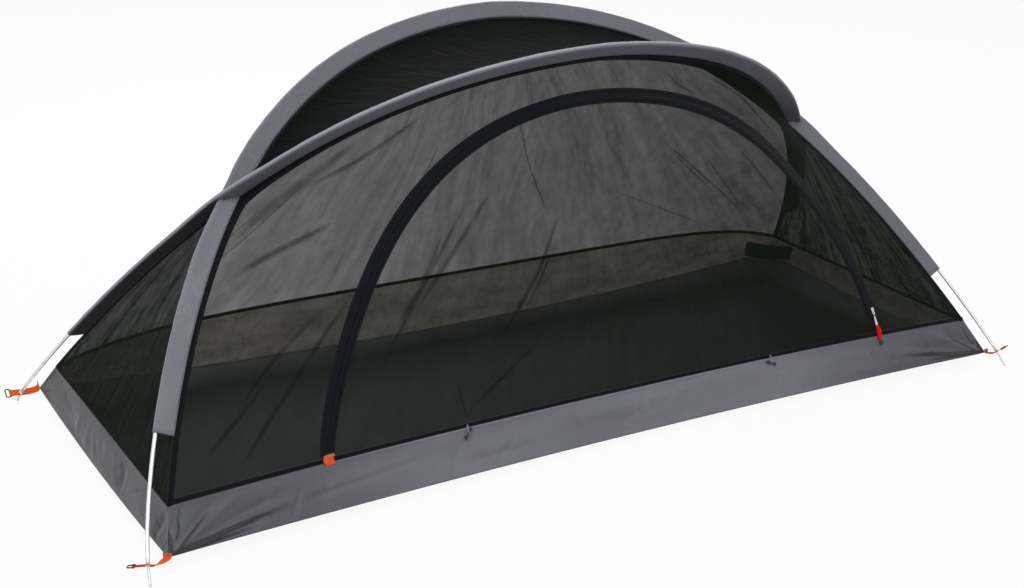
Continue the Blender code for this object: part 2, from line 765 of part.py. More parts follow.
def door_arch(turn, grown):
    """A point on the door's arch, as x and z. turn runs from 0 at the right foot to pi at the left."""
    level = math.cos(turn)
    width = DOOR_RIGHT_WIDTH if level > 0.0 else DOOR_LEFT_WIDTH
    power = 2.0 / (DOOR_RIGHT_ROUND_SHARE - (DOOR_RIGHT_ROUND_SHARE - DOOR_LEFT_ROUND_SHARE) * min(level, 0.0) ** 2)
    x = math.copysign(abs(level) ** power, level)
    z = max(math.sin(turn), 0.0) ** power
    return (DOOR_CENTRE + (width + grown) * x, DOOR_SILL + (DOOR_HEIGHT + grown) * z)


def turn_towards(x, z):
    """The arch's turn in the direction of a place, seen from the middle of the sill."""
    width = DOOR_RIGHT_WIDTH if x > DOOR_CENTRE else DOOR_LEFT_WIDTH
    across, up = (x - DOOR_CENTRE) / width, max(z - DOOR_SILL, 0.0) / DOOR_HEIGHT
    power = (DOOR_RIGHT_ROUND_SHARE if across > 0.0 else DOOR_LEFT_ROUND_SHARE) / 2.0
    return math.atan2(up**power, math.copysign(abs(across) ** power, across))


# The net's columns run out from the arch to the bends of the poles' seams
FRONT_OUTLINE = upper_edge(FRONT)
DOOR_TURNS = [turn_towards(point[0], point[2]) for point in FRONT_OUTLINE[::-1]]


def add_front_net():
    """The front net round the door: a broad U from the door's tape out to the poles' seams."""
    face = FACES[FRONT]
    rows = []
    for k, outer in enumerate(FRONT_OUTLINE[::-1]):
        x, z = outer[0], outer[2]
        inner = door_arch(DOOR_TURNS[k], ZIP_TAPE + EDGE)
        foot = k in (0, len(FRONT_OUTLINE) - 1)
        row = []
        for share in NET_STEP_SHARES:
            px = x + (inner[0] - x) * share
            pz = z + (inner[1] - z) * share
            if foot:
                pz = binding_top(px) + EDGE
            row.append(np.array([px, 0.0, pz]))
        row[0] = drawn_in(row[0], row[1], EDGE)
        rows.append([face.point(point[0], point[2]) for point in row])
    sheet_object("front_net", rows, NET, black_net)


def add_rear_net():
    face = FACES[REAR]
    rows = []
    for top in upper_edge(REAR):
        x = top[0] * (1.0 - EDGE / TOP_CORNER[0])
        low = long_top_edge(REAR, x / TOP_CORNER[0])[2] + EDGE
        high = np.interp(x, face.columns, face.top) - 2 * EDGE
        rows.append([face.point(x, low + (high - low) * share) for share in NET_STEP_SHARES])
    sheet_object("rear_net", rows, NET, black_net)


def add_end_net(side):
    """The triangular net of an end, between two legs' seams and the end wall's top."""
    places = [*LEG_PLACES[:-1], LEG_PLACES[-1] - NET_TIP_STEP]
    edge = np.array([HOOPS[REAR].seam_point(place) for place in places])
    shares = np.linspace(-1.0, 1.0, 7)
    x = np.repeat(edge[:, :1], len(shares), axis=1)
    y = -edge[:, 1:2] * shares[None, :]
    z = np.repeat(edge[:, 2:3], len(shares), axis=1)
    x[0] = -TOP_CORNER[0]
    across = np.gradient(y, axis=1)
    along = np.gradient(z, axis=0)
    x = relax(x, across, along)
    trim = 1.0 - EDGE / np.maximum(np.abs(y[:, :1]), 2 * EDGE)
    y = y * trim
    z[0] += EDGE
    rows = [[(-side * x[r, k] * 1.0, y[r, k], z[r, k]) for k in range(len(shares))] for r in range(len(edge))]
    name = "left_net" if side == LEFT else "right_net"
    sheet_object(name, rows, NET, black_net)


def add_roof_net():
    """The lens of net between the two arches. It sags a little between them."""
    edge = np.array([HOOPS[REAR].seam_point(place) for place in ARCH_PLACES])
    shares = np.linspace(-1.0, 1.0, 7)
    y = edge[:, 1:2] * shares[None, :]
    z = np.repeat(edge[:, 2:3], len(shares), axis=1)
    along = np.gradient(edge[:, 0])[:, None]
    z = relax(z, np.gradient(y, axis=1), along)
    wide = edge[:, 1:2] / edge[:, 1].max()
    z = z - ROOF_SAG * wide**2 * (1.0 - shares[None, :] ** 2)
    y = y * (1.0 - EDGE / np.maximum(edge[:, 1:2], 2 * EDGE))
    rows = [[(edge[r, 0], y[r, k], z[r, k]) for k in range(len(shares))] for r in range(len(edge))]
    sheet_object("roof_net", rows, NET, black_net)


def near_foot(foot, above):
    """A point between the foot of the arch and its next bend, at the height of the end tab."""
    foot, above = np.array(foot), np.array(above)
    return foot + (above - foot) * DOOR_LEFT_NOTCH / (above - foot)[..., -1:]


def add_door_net():
    """The door's own net, inside its tape and above the sill."""
    face = FACES[FRONT]
    arch = [door_arch(turn, -ZIP_TAPE - EDGE) for turn in DOOR_TURNS]
    tops = [near_foot(arch[0], arch[1]), *arch[1:-1], near_foot(arch[-1], arch[-2])]
    rows = []
    for x, top in tops:
        low = max(binding_top(x) + EDGE, DOOR_SILL)
        rows.append([face.point(x, low + (top - low) * share) for share in NET_STEP_SHARES])
    sheet_object("door_net", rows, NET, black_net)


def tape_profile():
    """Half of the zip across its tape: a raised row of teeth at the parting, then flat tape."""
    low, flat = ZIP_PARTING / 2, ZIP_TAPE_CLOTH / 2
    high = ZIP_RIDGE_HEIGHT / 2
    return [(low, -high), (ZIP_RIDGE, -high), (ZIP_RIDGE, -flat), (ZIP_TAPE, -flat),
            (ZIP_TAPE, flat), (ZIP_RIDGE, flat), (ZIP_RIDGE, high), (low, high)]


def tape_ring(turn, outward):
    face = FACES[FRONT]
    ring = []
    for across, up in tape_profile():
        x, z = door_arch(turn, across * outward)
        ring.append(face.off(x, z, up))
    return ring


def add_zip():
    rings = [tape_ring(turn, 1.0) for turn in DOOR_TURNS]
    mesh_object("zip_frame_tape", *capped_skin_of(rings), black_tape)
    rings = [tape_ring(turn, -1.0) for turn in DOOR_TURNS]
    rings[-1] = near_foot(rings[-1], rings[-2])
    mesh_object("zip_door_tape", *capped_skin_of(rings), black_tape)


def wall_face_point(x, height):
    """A point on the front wall or, above it, on the front face."""
    u = x / TOP_CORNER[0]
    top, low = long_top_edge(FRONT, u), floor_edge(u, FRONT)
    if height >= top[2]:
        return FACES[FRONT].point(x, height)
    share = (height - low[2]) / (top[2] - low[2])
    return np.array([x, low[1] + (top[1] - low[1]) * share, height])


def slider_frame():
    """Origin on the teeth of the frame's tape at the slider, then up the tape, across and out."""
    low, high = tape_ring(DOOR_TURNS[0], 1.0), tape_ring(DOOR_TURNS[1], 1.0)
    up = unit(high[-1] - low[-1])
    out = unit(np.cross(low[-2] - low[-1] + high[-2] - high[-1], up))
    out = -out if out[1] > 0 else out
    across = unit(np.cross(out, up))
    return low[-1] + up * SLIDER_HEIGHT_ON_TAPE, up, -across if across[0] < 0 else across, out


def hanging_direction(pivot, length):
    """The way a pull of a length leans on the wall's face when it hangs down from its pivot."""
    far = wall_face_point(pivot[0], pivot[2] - length * math.cos(LEAN / 2))
    return unit(far - np.array([0.0, PULL_END_DEPTH / 2 + PULL_WALL_GAP, 0.0]) - pivot)


def add_slider():
    """The slider on the frame's tape, with a bar at its lower end, and the pull that hangs on it."""
    frame = slider_frame()
    origin, up, across, out = frame
    near, far = SLIDER_SIDE_GAP, SLIDER_SIDE_GAP + SLIDER_WIDTH
    face, back = SLIDER_FACE_GAP, SLIDER_FACE_GAP + SLIDER_DEPTH
    low, high = -SLIDER_LENGTH / 2, SLIDER_LENGTH / 2
    body = box_object("zip_slider", (low, near, face), (high, far, back), frame, silver_alloy)
    plate_low, trim = low - SLIDER_LOOP, EDGE / 4
    plate = box_object(
        "slider_plate", (plate_low, near + trim, back - SLIDER_BAR - trim),
        (high - EDGE, far - trim, back - trim), frame, silver_alloy, CUTTERS)
    cut_by(body, plate, "UNION")
    window = box_object(
        "slider_window", (plate_low + SLIDER_BAR, near + SLIDER_PRONG, face - OVERRUN),
        (low, far - SLIDER_PRONG, back + OVERRUN), frame, silver_alloy, CUTTERS)
    cut_by(body, window)
    pivot = origin + up * (plate_low + SLIDER_BAR / 2) + across * (near + far) / 2
    pivot = pivot + out * (back - trim - SLIDER_BAR / 2)
    down = hanging_direction(pivot, PULLER_LENGTH + PULL_TAPE_LENGTH + PULL_END_LENGTH)
    down = unit(down - across * np.dot(down, across))
    away = unit(np.cross(down, across))
    away = -away if away[1] > 0 else away
    outer, inner = keyhole(PULLER_LENGTH, PULLER_EYE, PULLER_BORE, PULLER_PLATE)
    rings = []
    for side in (-0.5, 0.5):
        shift = pivot + across * PULLER_WIDTH * side
        rings.append([[shift + down * a + away * b for a, b in line] for line in (outer, inner)])
    order = [rings[0][0], rings[1][0], rings[1][1], rings[0][1]]
    mesh_object("zip_puller", *skin_of(order), silver_alloy)
    hang = (pivot, down, across, away)
    start = PULLER_LENGTH + PLUG_GAP
    end = start + PULL_TAPE_LENGTH
    half, ply = PULL_TAPE_WIDTH / 2, PULL_TAPE_CLOTH / 2
    box_object("pull_tape", (start, -half, -ply), (end, half, ply), hang, red_tape)
    start = end + PLUG_GAP
    half, ply = PULL_END_WIDTH / 2, PULL_END_DEPTH / 2
    box_object("pull_end", (start, -half, -ply), (start + PULL_END_LENGTH, half, ply), hang, black_plastic)


def add_zip_end_tab():
    """A folded tab sewn over the zip's lower end, the binding and the wall's upper edge."""
    lift = ZIP_RIDGE_HEIGHT / 2 + SLIDER_FACE_GAP + END_TAB_CLOTH / 2
    middle = DOOR_FEET[0]
    rows = []
    for height in (DOOR_SILL - END_TAB_DROP, DOOR_SILL, DOOR_SILL + DOOR_LEFT_NOTCH - 2 * EDGE):
        out = FACES[FRONT].outward(middle, max(height, DOOR_SILL))
        row = []
        for share in (-0.5, 0.0, 0.5):
            row.append(wall_face_point(middle + share * END_TAB_WIDTH, height) + out * lift)
        rows.append(row)
    sheet_object("zip_end_tab", rows, END_TAB_CLOTH, orange_webbing)


def loop_path(centre, down, across, radius, length):
    """A closed loop with round ends, in the plane of down and across, its upper end round centre."""
    path = []
    for k in range(LOOP_TURN_STEPS + 1):
        turn = math.pi * k / LOOP_TURN_STEPS
        path.append(centre + radius * (math.cos(turn) * across - math.sin(turn) * down))
    for k in range(LOOP_TURN_STEPS + 1):
        turn = math.pi * k / LOOP_TURN_STEPS
        end = centre + down * length
        path.append(end - radius * (math.cos(turn) * across - math.sin(turn) * down))
    return path


def add_toggle(name, share):
    """A bar that hangs in a closed elastic loop from the binding, clear of the wall behind it."""
    x = share * TOP_CORNER[0]
    radius = (TOGGLE_WAIST + TOGGLE_CORD) / 2 + TOGGLE_LOOP_GAP
    outside = radius + TOGGLE_CORD / 2
    height = binding_top(x) - TOGGLE_DROP
    upper = wall_face_point(x, height)
    lower = wall_face_point(x, height - TOGGLE_LOOP_LENGTH)
    down = unit(lower - upper)
    out = unit(np.cross(down, [1.0, 0.0, 0.0]))
    out = out if out[1] < 0 else -out
    centre = upper + out * (outside + BINDING_CLOTH / 2 + TOGGLE_WALL_GAP)
    path = loop_path(centre, down, out, radius, TOGGLE_LOOP_LENGTH)
    wire_object(f"{name}_loop", path, TOGGLE_CORD, grey_elastic, cyclic=True)
    bar_centre = centre + down * TOGGLE_LOOP_LENGTH
    half, waist = TOGGLE_LENGTH / 2, TOGGLE_WAIST_LENGTH / 2
    outline = [(-half, TOGGLE_WAIST), (-half * 0.9, TOGGLE_DIAMETER), (-waist * 2, TOGGLE_DIAMETER),
               (-waist, TOGGLE_WAIST)]
    outline += [(-along, wide) for along, wide in outline[::-1]]
    rings = []
    for along, wide in outline:
        ring = []
        for k in range(POLE_SIDES):
            turn = 2 * math.pi * k / POLE_SIDES
            spoke = math.cos(turn) * down + math.sin(turn) * out
            ring.append(bar_centre + np.array([along, 0.0, 0.0]) + spoke * wide / 2)
        rings.append(ring)
    mesh_object(name, *capped_skin_of(rings), black_plastic)


def corner_frame(side, end):
    """Grommet centre, direction out along the tab, across it, and up the pole."""
    hoop = HOOPS[-side]
    below = TIP_LENGTH - 2 * TIP_SHOULDER - TAB_CLOTH / 2 - GROMMET_FLANGE_PLY - 2 * GROMMET_GAP
    place = end * (hoop.half - below)
    centre, along, inside, _ = hoop.frame(place)
    up = along if along[2] > 0 else -along
    out = -inside
    return centre, out, unit(np.cross(up, out)), up


def add_corner(side, end):
    """The webbing tab from the floor's corner over the pole tip, its grommet and its peg ring."""
    name = LEG_NAMES[(side, end)]
    centre, out, across, up = corner_frame(side, end)
    corner = floor_edge(end, side) * 1.0
    tail = np.dot(centre - corner, out) - TAB_CORNER_GAP
    outer, inner = keyhole(TAB_REACH + tail, TAB_LOOP, TAB_LOOP_BORE, TAB_CLOTH)
    loop_centre = centre + out * TAB_REACH
    rings = []
    for share in (-0.5, 0.5):
        shift = loop_centre + across * TAB_WIDTH * share
        rings.append([[shift - out * a + up * b for a, b in line] for line in (outer, inner)])
    order = [rings[0][0], rings[1][0], rings[1][1], rings[0][1]]
    tab = mesh_object(f"corner_tab_{name}", *skin_of(order), orange_webbing)
    hole = turned_rings(centre, out, across, up, [(-OVERRUN, TAB_HOLE), (OVERRUN, TAB_HOLE)])
    cutter = mesh_object(f"tab_hole_{name}", *capped_skin_of(hole), orange_webbing, CUTTERS)
    cut_by(tab, cutter)
    seat, lip = TAB_CLOTH / 2 + GROMMET_GAP, GROMMET_FLANGE_PLY
    outline = [(-seat - lip, GROMMET_BORE), (-seat - lip, GROMMET_FLANGE), (-seat, GROMMET_FLANGE)]
    outline += [(-seat, GROMMET_BARREL), (seat, GROMMET_BARREL), (seat, GROMMET_FLANGE)]
    outline += [(seat + lip, GROMMET_FLANGE), (seat + lip, GROMMET_BORE)]
    rings = turned_rings(centre, out, across, up, outline)
    mesh_object(f"grommet_{name}", *skin_of(rings), silver_alloy)
    path = ring_path(loop_centre, out, across)
    wire_object(f"peg_ring_{name}", path, RING_WIRE, black_plastic, cyclic=True)


def turned_rings(centre, first, second, axis, outline):
    rings = []
    for along, wide in outline:
        ring = []
        for k in range(GROMMET_SIDES):
            turn = 2 * math.pi * k / GROMMET_SIDES
            ring.append(centre + axis * along + (math.cos(turn) * first + math.sin(turn) * second) * wide / 2)
        rings.append(ring)
    return rings


def ring_path(centre, out, across):
    """A rounded rectangle with one long side through the tab's loop."""
    half, depth = RING_WIDTH / 2 - RING_CORNER, RING_DEPTH - RING_CORNER
    corners = [(RING_CORNER, half, 180), (depth, half, 90), (depth, -half, 0), (RING_CORNER, -half, -90)]
    path = []
    for along, side, start in corners:
        for k in range(RING_CORNER_STEPS + 1):
            turn = math.radians(start - 90 * k / RING_CORNER_STEPS)
            spot = (along + RING_CORNER * math.cos(turn), side + RING_CORNER * math.sin(turn))
            path.append(centre + out * spot[0] + across * spot[1])
    return path


def add_pocket():
    """A pocket across the rear-right corner, open at its top."""
    u, v = 1.0 - FLOOR_RAMP / FLOOR_CORNER[0], 1.0 - FLOOR_RAMP / FLOOR_CORNER[1]
    rows = []
    for share in (0.0, 0.5, 1.0):
        bottom, top = FLOOR_CORNER_LIFT + POCKET_FLOOR_GAP, WALL_TOP_HEIGHT - POCKET_TOP_GAP
        height = bottom + (top - bottom) * share
        ends = []
        walls = [(floor_edge(u, REAR), long_top_edge(REAR, u), (0.0, -POCKET_WALL_GAP, 0.0)),
                 (floor_edge(RIGHT, v), end_top_edge(RIGHT, v), (-POCKET_WALL_GAP, 0.0, 0.0))]
        for low, high, clear in walls:
            up = (height - low[2]) / (high[2] - low[2])
            ends.append(low + (high - low) * up + np.array(clear))
        middle = (ends[0] + ends[1]) / 2 - np.array([POCKET_TOP_GAP, POCKET_TOP_GAP, 0.0])
        rows.append([ends[0], middle, ends[1]])
    sheet_object("corner_pocket", rows, POCKET_CLOTH, black_tape)


add_hoops()
add_bathtub()
add_front_binding()
add_front_net()
add_rear_net()
add_end_net(LEFT)
add_end_net(RIGHT)
add_roof_net()
add_door_net()
add_zip()
add_slider()
add_zip_end_tab()
add_toggle("toggle_left", TOGGLE_PLACE_SHARES[0])
add_toggle("toggle_right", TOGGLE_PLACE_SHARES[1])
for long_side in (FRONT, REAR):
    for end_side in (LEFT, RIGHT):
        add_corner(long_side, end_side)
add_pocket()
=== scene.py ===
"""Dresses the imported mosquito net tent: fine cloth, net, zip and fittings round its frame.

Metres, +Z up. The tent's length runs along X and its door looks towards -Y.
"""

import math

import bmesh
import bpy
import numpy as np
from mathutils import Matrix


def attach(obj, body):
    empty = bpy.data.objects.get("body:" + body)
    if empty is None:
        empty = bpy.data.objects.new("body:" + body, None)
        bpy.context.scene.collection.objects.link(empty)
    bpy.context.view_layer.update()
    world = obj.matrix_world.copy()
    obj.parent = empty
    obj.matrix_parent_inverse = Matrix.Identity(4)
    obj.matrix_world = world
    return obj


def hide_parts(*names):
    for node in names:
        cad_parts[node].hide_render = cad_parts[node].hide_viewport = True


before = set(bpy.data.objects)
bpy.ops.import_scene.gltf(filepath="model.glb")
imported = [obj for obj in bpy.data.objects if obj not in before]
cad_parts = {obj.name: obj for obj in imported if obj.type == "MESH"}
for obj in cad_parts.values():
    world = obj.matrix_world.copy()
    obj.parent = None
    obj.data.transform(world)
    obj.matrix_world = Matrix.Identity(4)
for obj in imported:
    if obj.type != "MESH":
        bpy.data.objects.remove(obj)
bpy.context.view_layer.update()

# Studio: a camera in front of the tent's left end, two soft lamps, and a white floor that
# keeps a faint shadow. What the camera, metal and plastic see behind the tent is plain white.

CAMERA_PLACE = (-1.96526, -3.25654, 1.65468)
CAMERA_RIGHT = (0.83942, -0.54238, 0.03467)
CAMERA_UP = (0.18438, 0.34421, 0.92061)
CAMERA_FORWARD = (0.51125, 0.76639, -0.38894)
CAMERA_LENS = 55.3
CAMERA_SHIFT = (-0.0889, 0.0715)
HALF_FLOOR = 7.0
FLOOR_DROP = 0.0004
FLOOR_SEEN = (1.0, 1.0, 1.0)
FLOOR_LIT = (0.34, 0.34, 0.34)
FLOOR_SHADOW = 0.07
SKY_LIGHT = 0.42
LAMP_SIZE = 3.0
LAMP_TARGET = (0.0, 0.0, 0.3)
LAMPS = {"key_lamp": ((-1.6, -2.8, 3.4), 86.0), "rear_lamp": ((0.8, 3.0, 3.6), 110.0)}
EVEN = (1.0, 1.0, 1.0)


class Wire:
    """A number, a colour or a vector from a shader node, on which sums are written as Python."""

    def __init__(self, finish, socket):
        self.finish, self.socket = finish, socket

    def math(self, operation, *others):
        return self.finish.node("ShaderNodeMath", {"operation": operation}, [self, *others])

    def __add__(self, other):
        return self.math("ADD", other)

    def __sub__(self, other):
        return self.math("SUBTRACT", other)

    def __mul__(self, other):
        return self.math("MULTIPLY", other)

    def size(self):
        return self.math("ABSOLUTE")

    def sine(self):
        return self.math("SINE")

    def either(self, other):
        return self.math("MAXIMUM", other)

    def wrapped(self, length):
        """The rest of the value after whole lengths."""
        return self.math("FLOORED_MODULO", length)

    def step(self, low, high):
        """0 below low, 1 above high, smooth between. With low above high it falls instead."""
        ends = [low, high, 0.0, 1.0] if low < high else [high, low, 1.0, 0.0]
        return self.finish.node("ShaderNodeMapRange", {"interpolation_type": "SMOOTHSTEP"}, [self, *ends])

    def mixed(self, low, high):
        """A colour between two, chosen by this value."""
        return self.finish.node("ShaderNodeMix", {"data_type": "RGBA"}, {0: self, 6: low, 7: high}, 2)

    def tones(self, colour, low, high, plus=0.0):
        """A colour between two shares of one colour."""
        return self.mixed(toned(colour, low), toned(colour, high, plus))

    def split(self):
        node = self.finish.node("ShaderNodeSeparateXYZ", {}, [self])
        return [Wire(self.finish, s) for s in node.socket.node.outputs]


class Finish:
    """One material: a Principled shader whose varying inputs are fed by wires."""

    def __init__(self, name, colour, roughness, **constants):
        self.material = bpy.data.materials.new(name)
        self.material.use_nodes = True
        self.tree = self.material.node_tree
        self.shader = self.tree.nodes["Principled BSDF"]
        self.feed("Base Color", colour)
        self.feed("Roughness", roughness)
        for socket, value in constants.items():
            self.feed(socket.replace("_", " "), value)

    def node(self, kind, settings, inputs=(), output=0):
        """Makes a node: its settings first, then the values or wires of its sockets."""
        made = self.tree.nodes.new(kind)
        for key, value in settings.items():
            setattr(made, key, value)
        pairs = inputs.items() if isinstance(inputs, dict) else enumerate(inputs)
        for key, value in pairs:
            self.join(made.inputs[key], value)
        return Wire(self, made.outputs[output])

    def join(self, socket, value):
        if isinstance(value, Wire):
            self.tree.links.new(value.socket, socket)
        elif socket.type == "RGBA" and not isinstance(value, (int, float)):
            socket.default_value = (*value, 1.0)
        else:
            socket.default_value = value

    def feed(self, name, value):
        self.join(self.shader.inputs[name], value)

    def scaled(self, spot, scale):
        return self.node("ShaderNodeVectorMath", {"operation": "MULTIPLY"}, [spot, scale])

    def place(self, scale=EVEN, turn=(0.0, 0.0, 0.0)):
        """The place on the object in metres, turned and then scaled."""
        spot = self.node("ShaderNodeTexCoord", {}, output=3)
        return self.scaled(self.node("ShaderNodeMapping", {}, {0: spot, 2: turn}), scale)

    def cloth(self, scale=EVEN, layer="cloth"):
        """The place on the cloth as metres along and across it, or along and across its pull."""
        return self.scaled(self.node("ShaderNodeUVMap", {"uv_map": layer}), scale)

    def noise(self, place, scale, detail=2.0, rough=0.5):
        return self.node("ShaderNodeTexNoise", {}, {0: place, 2: scale, 3: detail, 4: rough})

    def grain(self, scale, detail=2.0, stretch=EVEN, turn=(0.0, 0.0, 0.0), rough=0.5):
        """Noise that stays with the object."""
        return self.noise(self.place(stretch, turn), scale, detail, rough)

    def bump(self, height, distance, strength=1.0):
        self.feed("Normal", self.node("ShaderNodeBump", {}, {0: strength, 1: distance, 3: height}))


def toned(colour, by, plus=0.0):
    return [min(c * by + plus, 1.0) for c in colour]


def unit(vector):
    return vector / np.linalg.norm(vector, axis=-1, keepdims=True)


def posed(item, place, axes):
    pose = np.eye(4)
    pose[:3, :3] = axes
    pose[:3, 3] = place
    item.matrix_world = Matrix(pose.tolist())
    bpy.context.scene.collection.objects.link(item)


scene = bpy.context.scene
scene.view_settings.view_transform = "Standard"
lens = bpy.data.cameras.new("photo_camera")
lens.lens = CAMERA_LENS
lens.shift_x, lens.shift_y = CAMERA_SHIFT
scene.camera = bpy.data.objects.new("photo_camera", lens)
posed(scene.camera, CAMERA_PLACE, np.stack([CAMERA_RIGHT, CAMERA_UP, -np.array(CAMERA_FORWARD)], axis=1))

for lamp_name, (lamp_place, lamp_power) in LAMPS.items():
    lamp = bpy.data.lights.new(lamp_name, "AREA")
    lamp.size = LAMP_SIZE
    lamp.energy = lamp_power
    back = unit(np.array(lamp_place) - LAMP_TARGET)
    level = unit(np.cross((0.0, 0.0, 1.0), back))
    posed(bpy.data.objects.new(lamp_name, lamp), lamp_place, np.stack([level, np.cross(back, level), back], axis=1))


def seen_directly(finish):
    """1 for what the camera sees straight on, through net or in a reflection."""
    path = finish.node("ShaderNodeLightPath", {}).socket.node.outputs
    kinds = [Wire(finish, path[k]) for k in ("Is Camera Ray", "Is Glossy Ray", "Is Transmission Ray")]
    return kinds[0].either(kinds[1]).either(kinds[2])


scene.world = bpy.data.worlds.new("white_studio")
scene.world.use_nodes = True
sky = Finish.__new__(Finish)
sky.tree = scene.world.node_tree
sky_light = sky.tree.nodes["Background"]
sky.join(sky_light.inputs[0], FLOOR_SEEN)
sky.join(sky_light.inputs[1], seen_directly(sky) * (1.0 - SKY_LIGHT) + SKY_LIGHT)

floor_mesh = bpy.data.meshes.new("studio_floor")
floor_corners = [(x * HALF_FLOOR, y * HALF_FLOOR, -FLOOR_DROP) for x, y in ((-1, -1), (1, -1), (1, 1), (-1, 1))]
floor_mesh.from_pydata(floor_corners, [], [(0, 1, 2, 3)])
floor = bpy.data.objects.new("studio_floor", floor_mesh)
scene.collection.objects.link(floor)
floor_finish = Finish("studio_floor", FLOOR_LIT, 0.9, Specular_IOR_Level=0.0)
seen = seen_directly(floor_finish)
floor_finish.feed("Base Color", seen.mixed(FLOOR_LIT, FLOOR_SEEN))
white = floor_finish.node("ShaderNodeEmission", {}, [FLOOR_SEEN, 1.0])
lit = Wire(floor_finish, floor_finish.shader.outputs[0])
mixed = floor_finish.node("ShaderNodeMixShader", {}, [seen * (1.0 - FLOOR_SHADOW), lit, white])
floor_finish.join(floor_finish.tree.nodes["Material Output"].inputs[0], mixed)
floor_mesh.materials.append(floor_finish.material)

# Pole hoops: shock-corded alloy tube in seven sections a hoop, each plugged into the next by an
# insert. A hoop stands on two corners of one long side and leans over to the other side.

POLE_SPAN = 2.4
TIP_WIDTH = 1.035
HOOP_RISE = 1.233
HOOP_LEAN = math.radians(40.32)
HOOP_SWAY = 0.0098
HOOP_POWER, HOOP_ROUND, HOOP_HOOK = 1.738, 0.62, -0.192
HOOP_POINTS = 6001
TABLE_CROWDING = 2.5
SEAM_OFFSET = 0.04
CROSSING_REACH = 0.16
CROSSING_GAP = 0.0108
WALL_TOP_HEIGHT = 0.115
SLEEVE_END_HEIGHT = 0.223
POLE_RADIUS = 0.00425
POLE_BORE = 0.00365
POLE_CHAMFER = 0.0003
POLE_RIM = 0.0004
INSERT_RADIUS = 0.00335
INSERT_BORE = 0.0023
INSERT_LENGTH = 0.05
INSERT_GRIP = 0.02
INSERT_NOSE = 0.001
POLE_SECTIONS = 7
POLE_SIDES = 20
POLE_RINGS = 25
SECTION_GAP = 0.0003
FRAME_STEP = 0.002
TIP_LENGTH = 0.05
FRONT, REAR, LEFT, RIGHT = -1, 1, -1, 1
SIDE_NAMES, END_NAMES = {FRONT: "front", REAR: "rear"}, {LEFT: "left", RIGHT: "right"}
CORNERS = [(side, end) for side in SIDE_NAMES for end in END_NAMES]
LEG_NAMES = {(side, end): f"{SIDE_NAMES[side]}_{END_NAMES[end]}" for side, end in CORNERS}


def run_lengths(points):
    """Metres along a line of points, from 0 at its start."""
    return np.concatenate([[0.0], np.cumsum(np.linalg.norm(np.diff(points, axis=0), axis=1))])


class Hoop:
    """The line of one pole hoop, and of the seam that runs beside it inside the arch."""

    def __init__(self, side):
        self.side = side
        rise_axis = np.array([0.0, side * math.sin(HOOP_LEAN), math.cos(HOOP_LEAN)])
        even = np.linspace(-1.0, 1.0, HOOP_POINTS)
        across = np.sign(even) * (1.0 - (1.0 - np.abs(even)) ** TABLE_CROWDING)
        rise = (1.0 - np.abs(across) ** HOOP_POWER) ** HOOP_ROUND
        rise = rise + 4.0 * HOOP_HOOK * rise * (1.0 - rise) * (0.5 - rise)
        sway = 8.0 * HOOP_SWAY * rise * (1.0 - rise) * (0.5 - rise)
        up = HOOP_RISE * rise
        depth = -TIP_WIDTH / 2 + up * math.sin(HOOP_LEAN) + sway * math.cos(HOOP_LEAN)
        height = up * math.cos(HOOP_LEAN) - sway * math.sin(HOOP_LEAN)
        self.axis = np.stack([across * POLE_SPAN / 2, side * depth, height], -1)
        self.lengths = run_lengths(self.axis)
        self.half = self.lengths[-1] / 2
        self.lengths = self.lengths - self.half
        inward = unit(np.cross(np.cross([1.0, 0.0, 0.0], rise_axis), unit(np.gradient(self.axis, axis=0))))
        turned = np.where(inward @ rise_axis > 0, -1.0, 1.0)
        self.seam_line = self.axis + SEAM_OFFSET * inward * turned[:, None]
        self.wall_top = self.leg_place(self.seam_line, 2, WALL_TOP_HEIGHT)
        self.sleeve_end = self.leg_place(self.seam_line, 2, SLEEVE_END_HEIGHT)
        self.seams_cross = self.leg_place(self.seam_line, 1, 0.0)
        self.poles_cross = self.leg_place(self.axis, 1, 0.0)

    def leg_place(self, line, column, value):
        leg = self.lengths < 0
        return -self.lengths[leg][np.argmin(np.abs(line[leg][:, column] - value))]

    def read(self, line, places):
        return np.stack([np.interp(places, self.lengths, line[:, k]) for k in range(3)], -1)

    def seam(self, places):
        return self.read(self.seam_line, places)

    def centre(self, places):
        """The pole's axis. Where the poles cross, one bows outward and the other inward."""
        places = np.asarray(places, float)
        near = np.clip(np.abs(np.abs(places) - self.poles_cross) / CROSSING_REACH, 0.0, 1.0)
        share = np.cos(near * math.pi / 2) ** 2 / 2
        slope = unit(np.diff(self.read(self.axis, [-self.poles_cross, -self.poles_cross + 0.001]), axis=0))[0]
        outward = unit(np.array([-slope[2], 0.0, slope[0]]))
        left = places < 0
        outside = np.where(left == (self.side == FRONT), 1.0, -1.0)
        bow = outward * np.where(left, 1.0, -1.0)[..., None] * [1.0, 0.0, 0.0] + outward * [0.0, 0.0, 1.0]
        return self.read(self.axis, places) + bow * (CROSSING_GAP * share * outside)[..., None]

    def frames(self, places):
        """Centre, and unit vectors along the pole, towards the seam, and square to both."""
        places = np.asarray(places, float)
        centre = self.centre(places)
        along = unit(self.centre(places + FRAME_STEP) - self.centre(places - FRAME_STEP))
        inside = self.seam(places) - centre
        square = unit(np.cross(along, inside))
        return centre, along, unit(np.cross(square, along)), square


HOOPS = {REAR: Hoop(REAR), FRONT: Hoop(FRONT)}


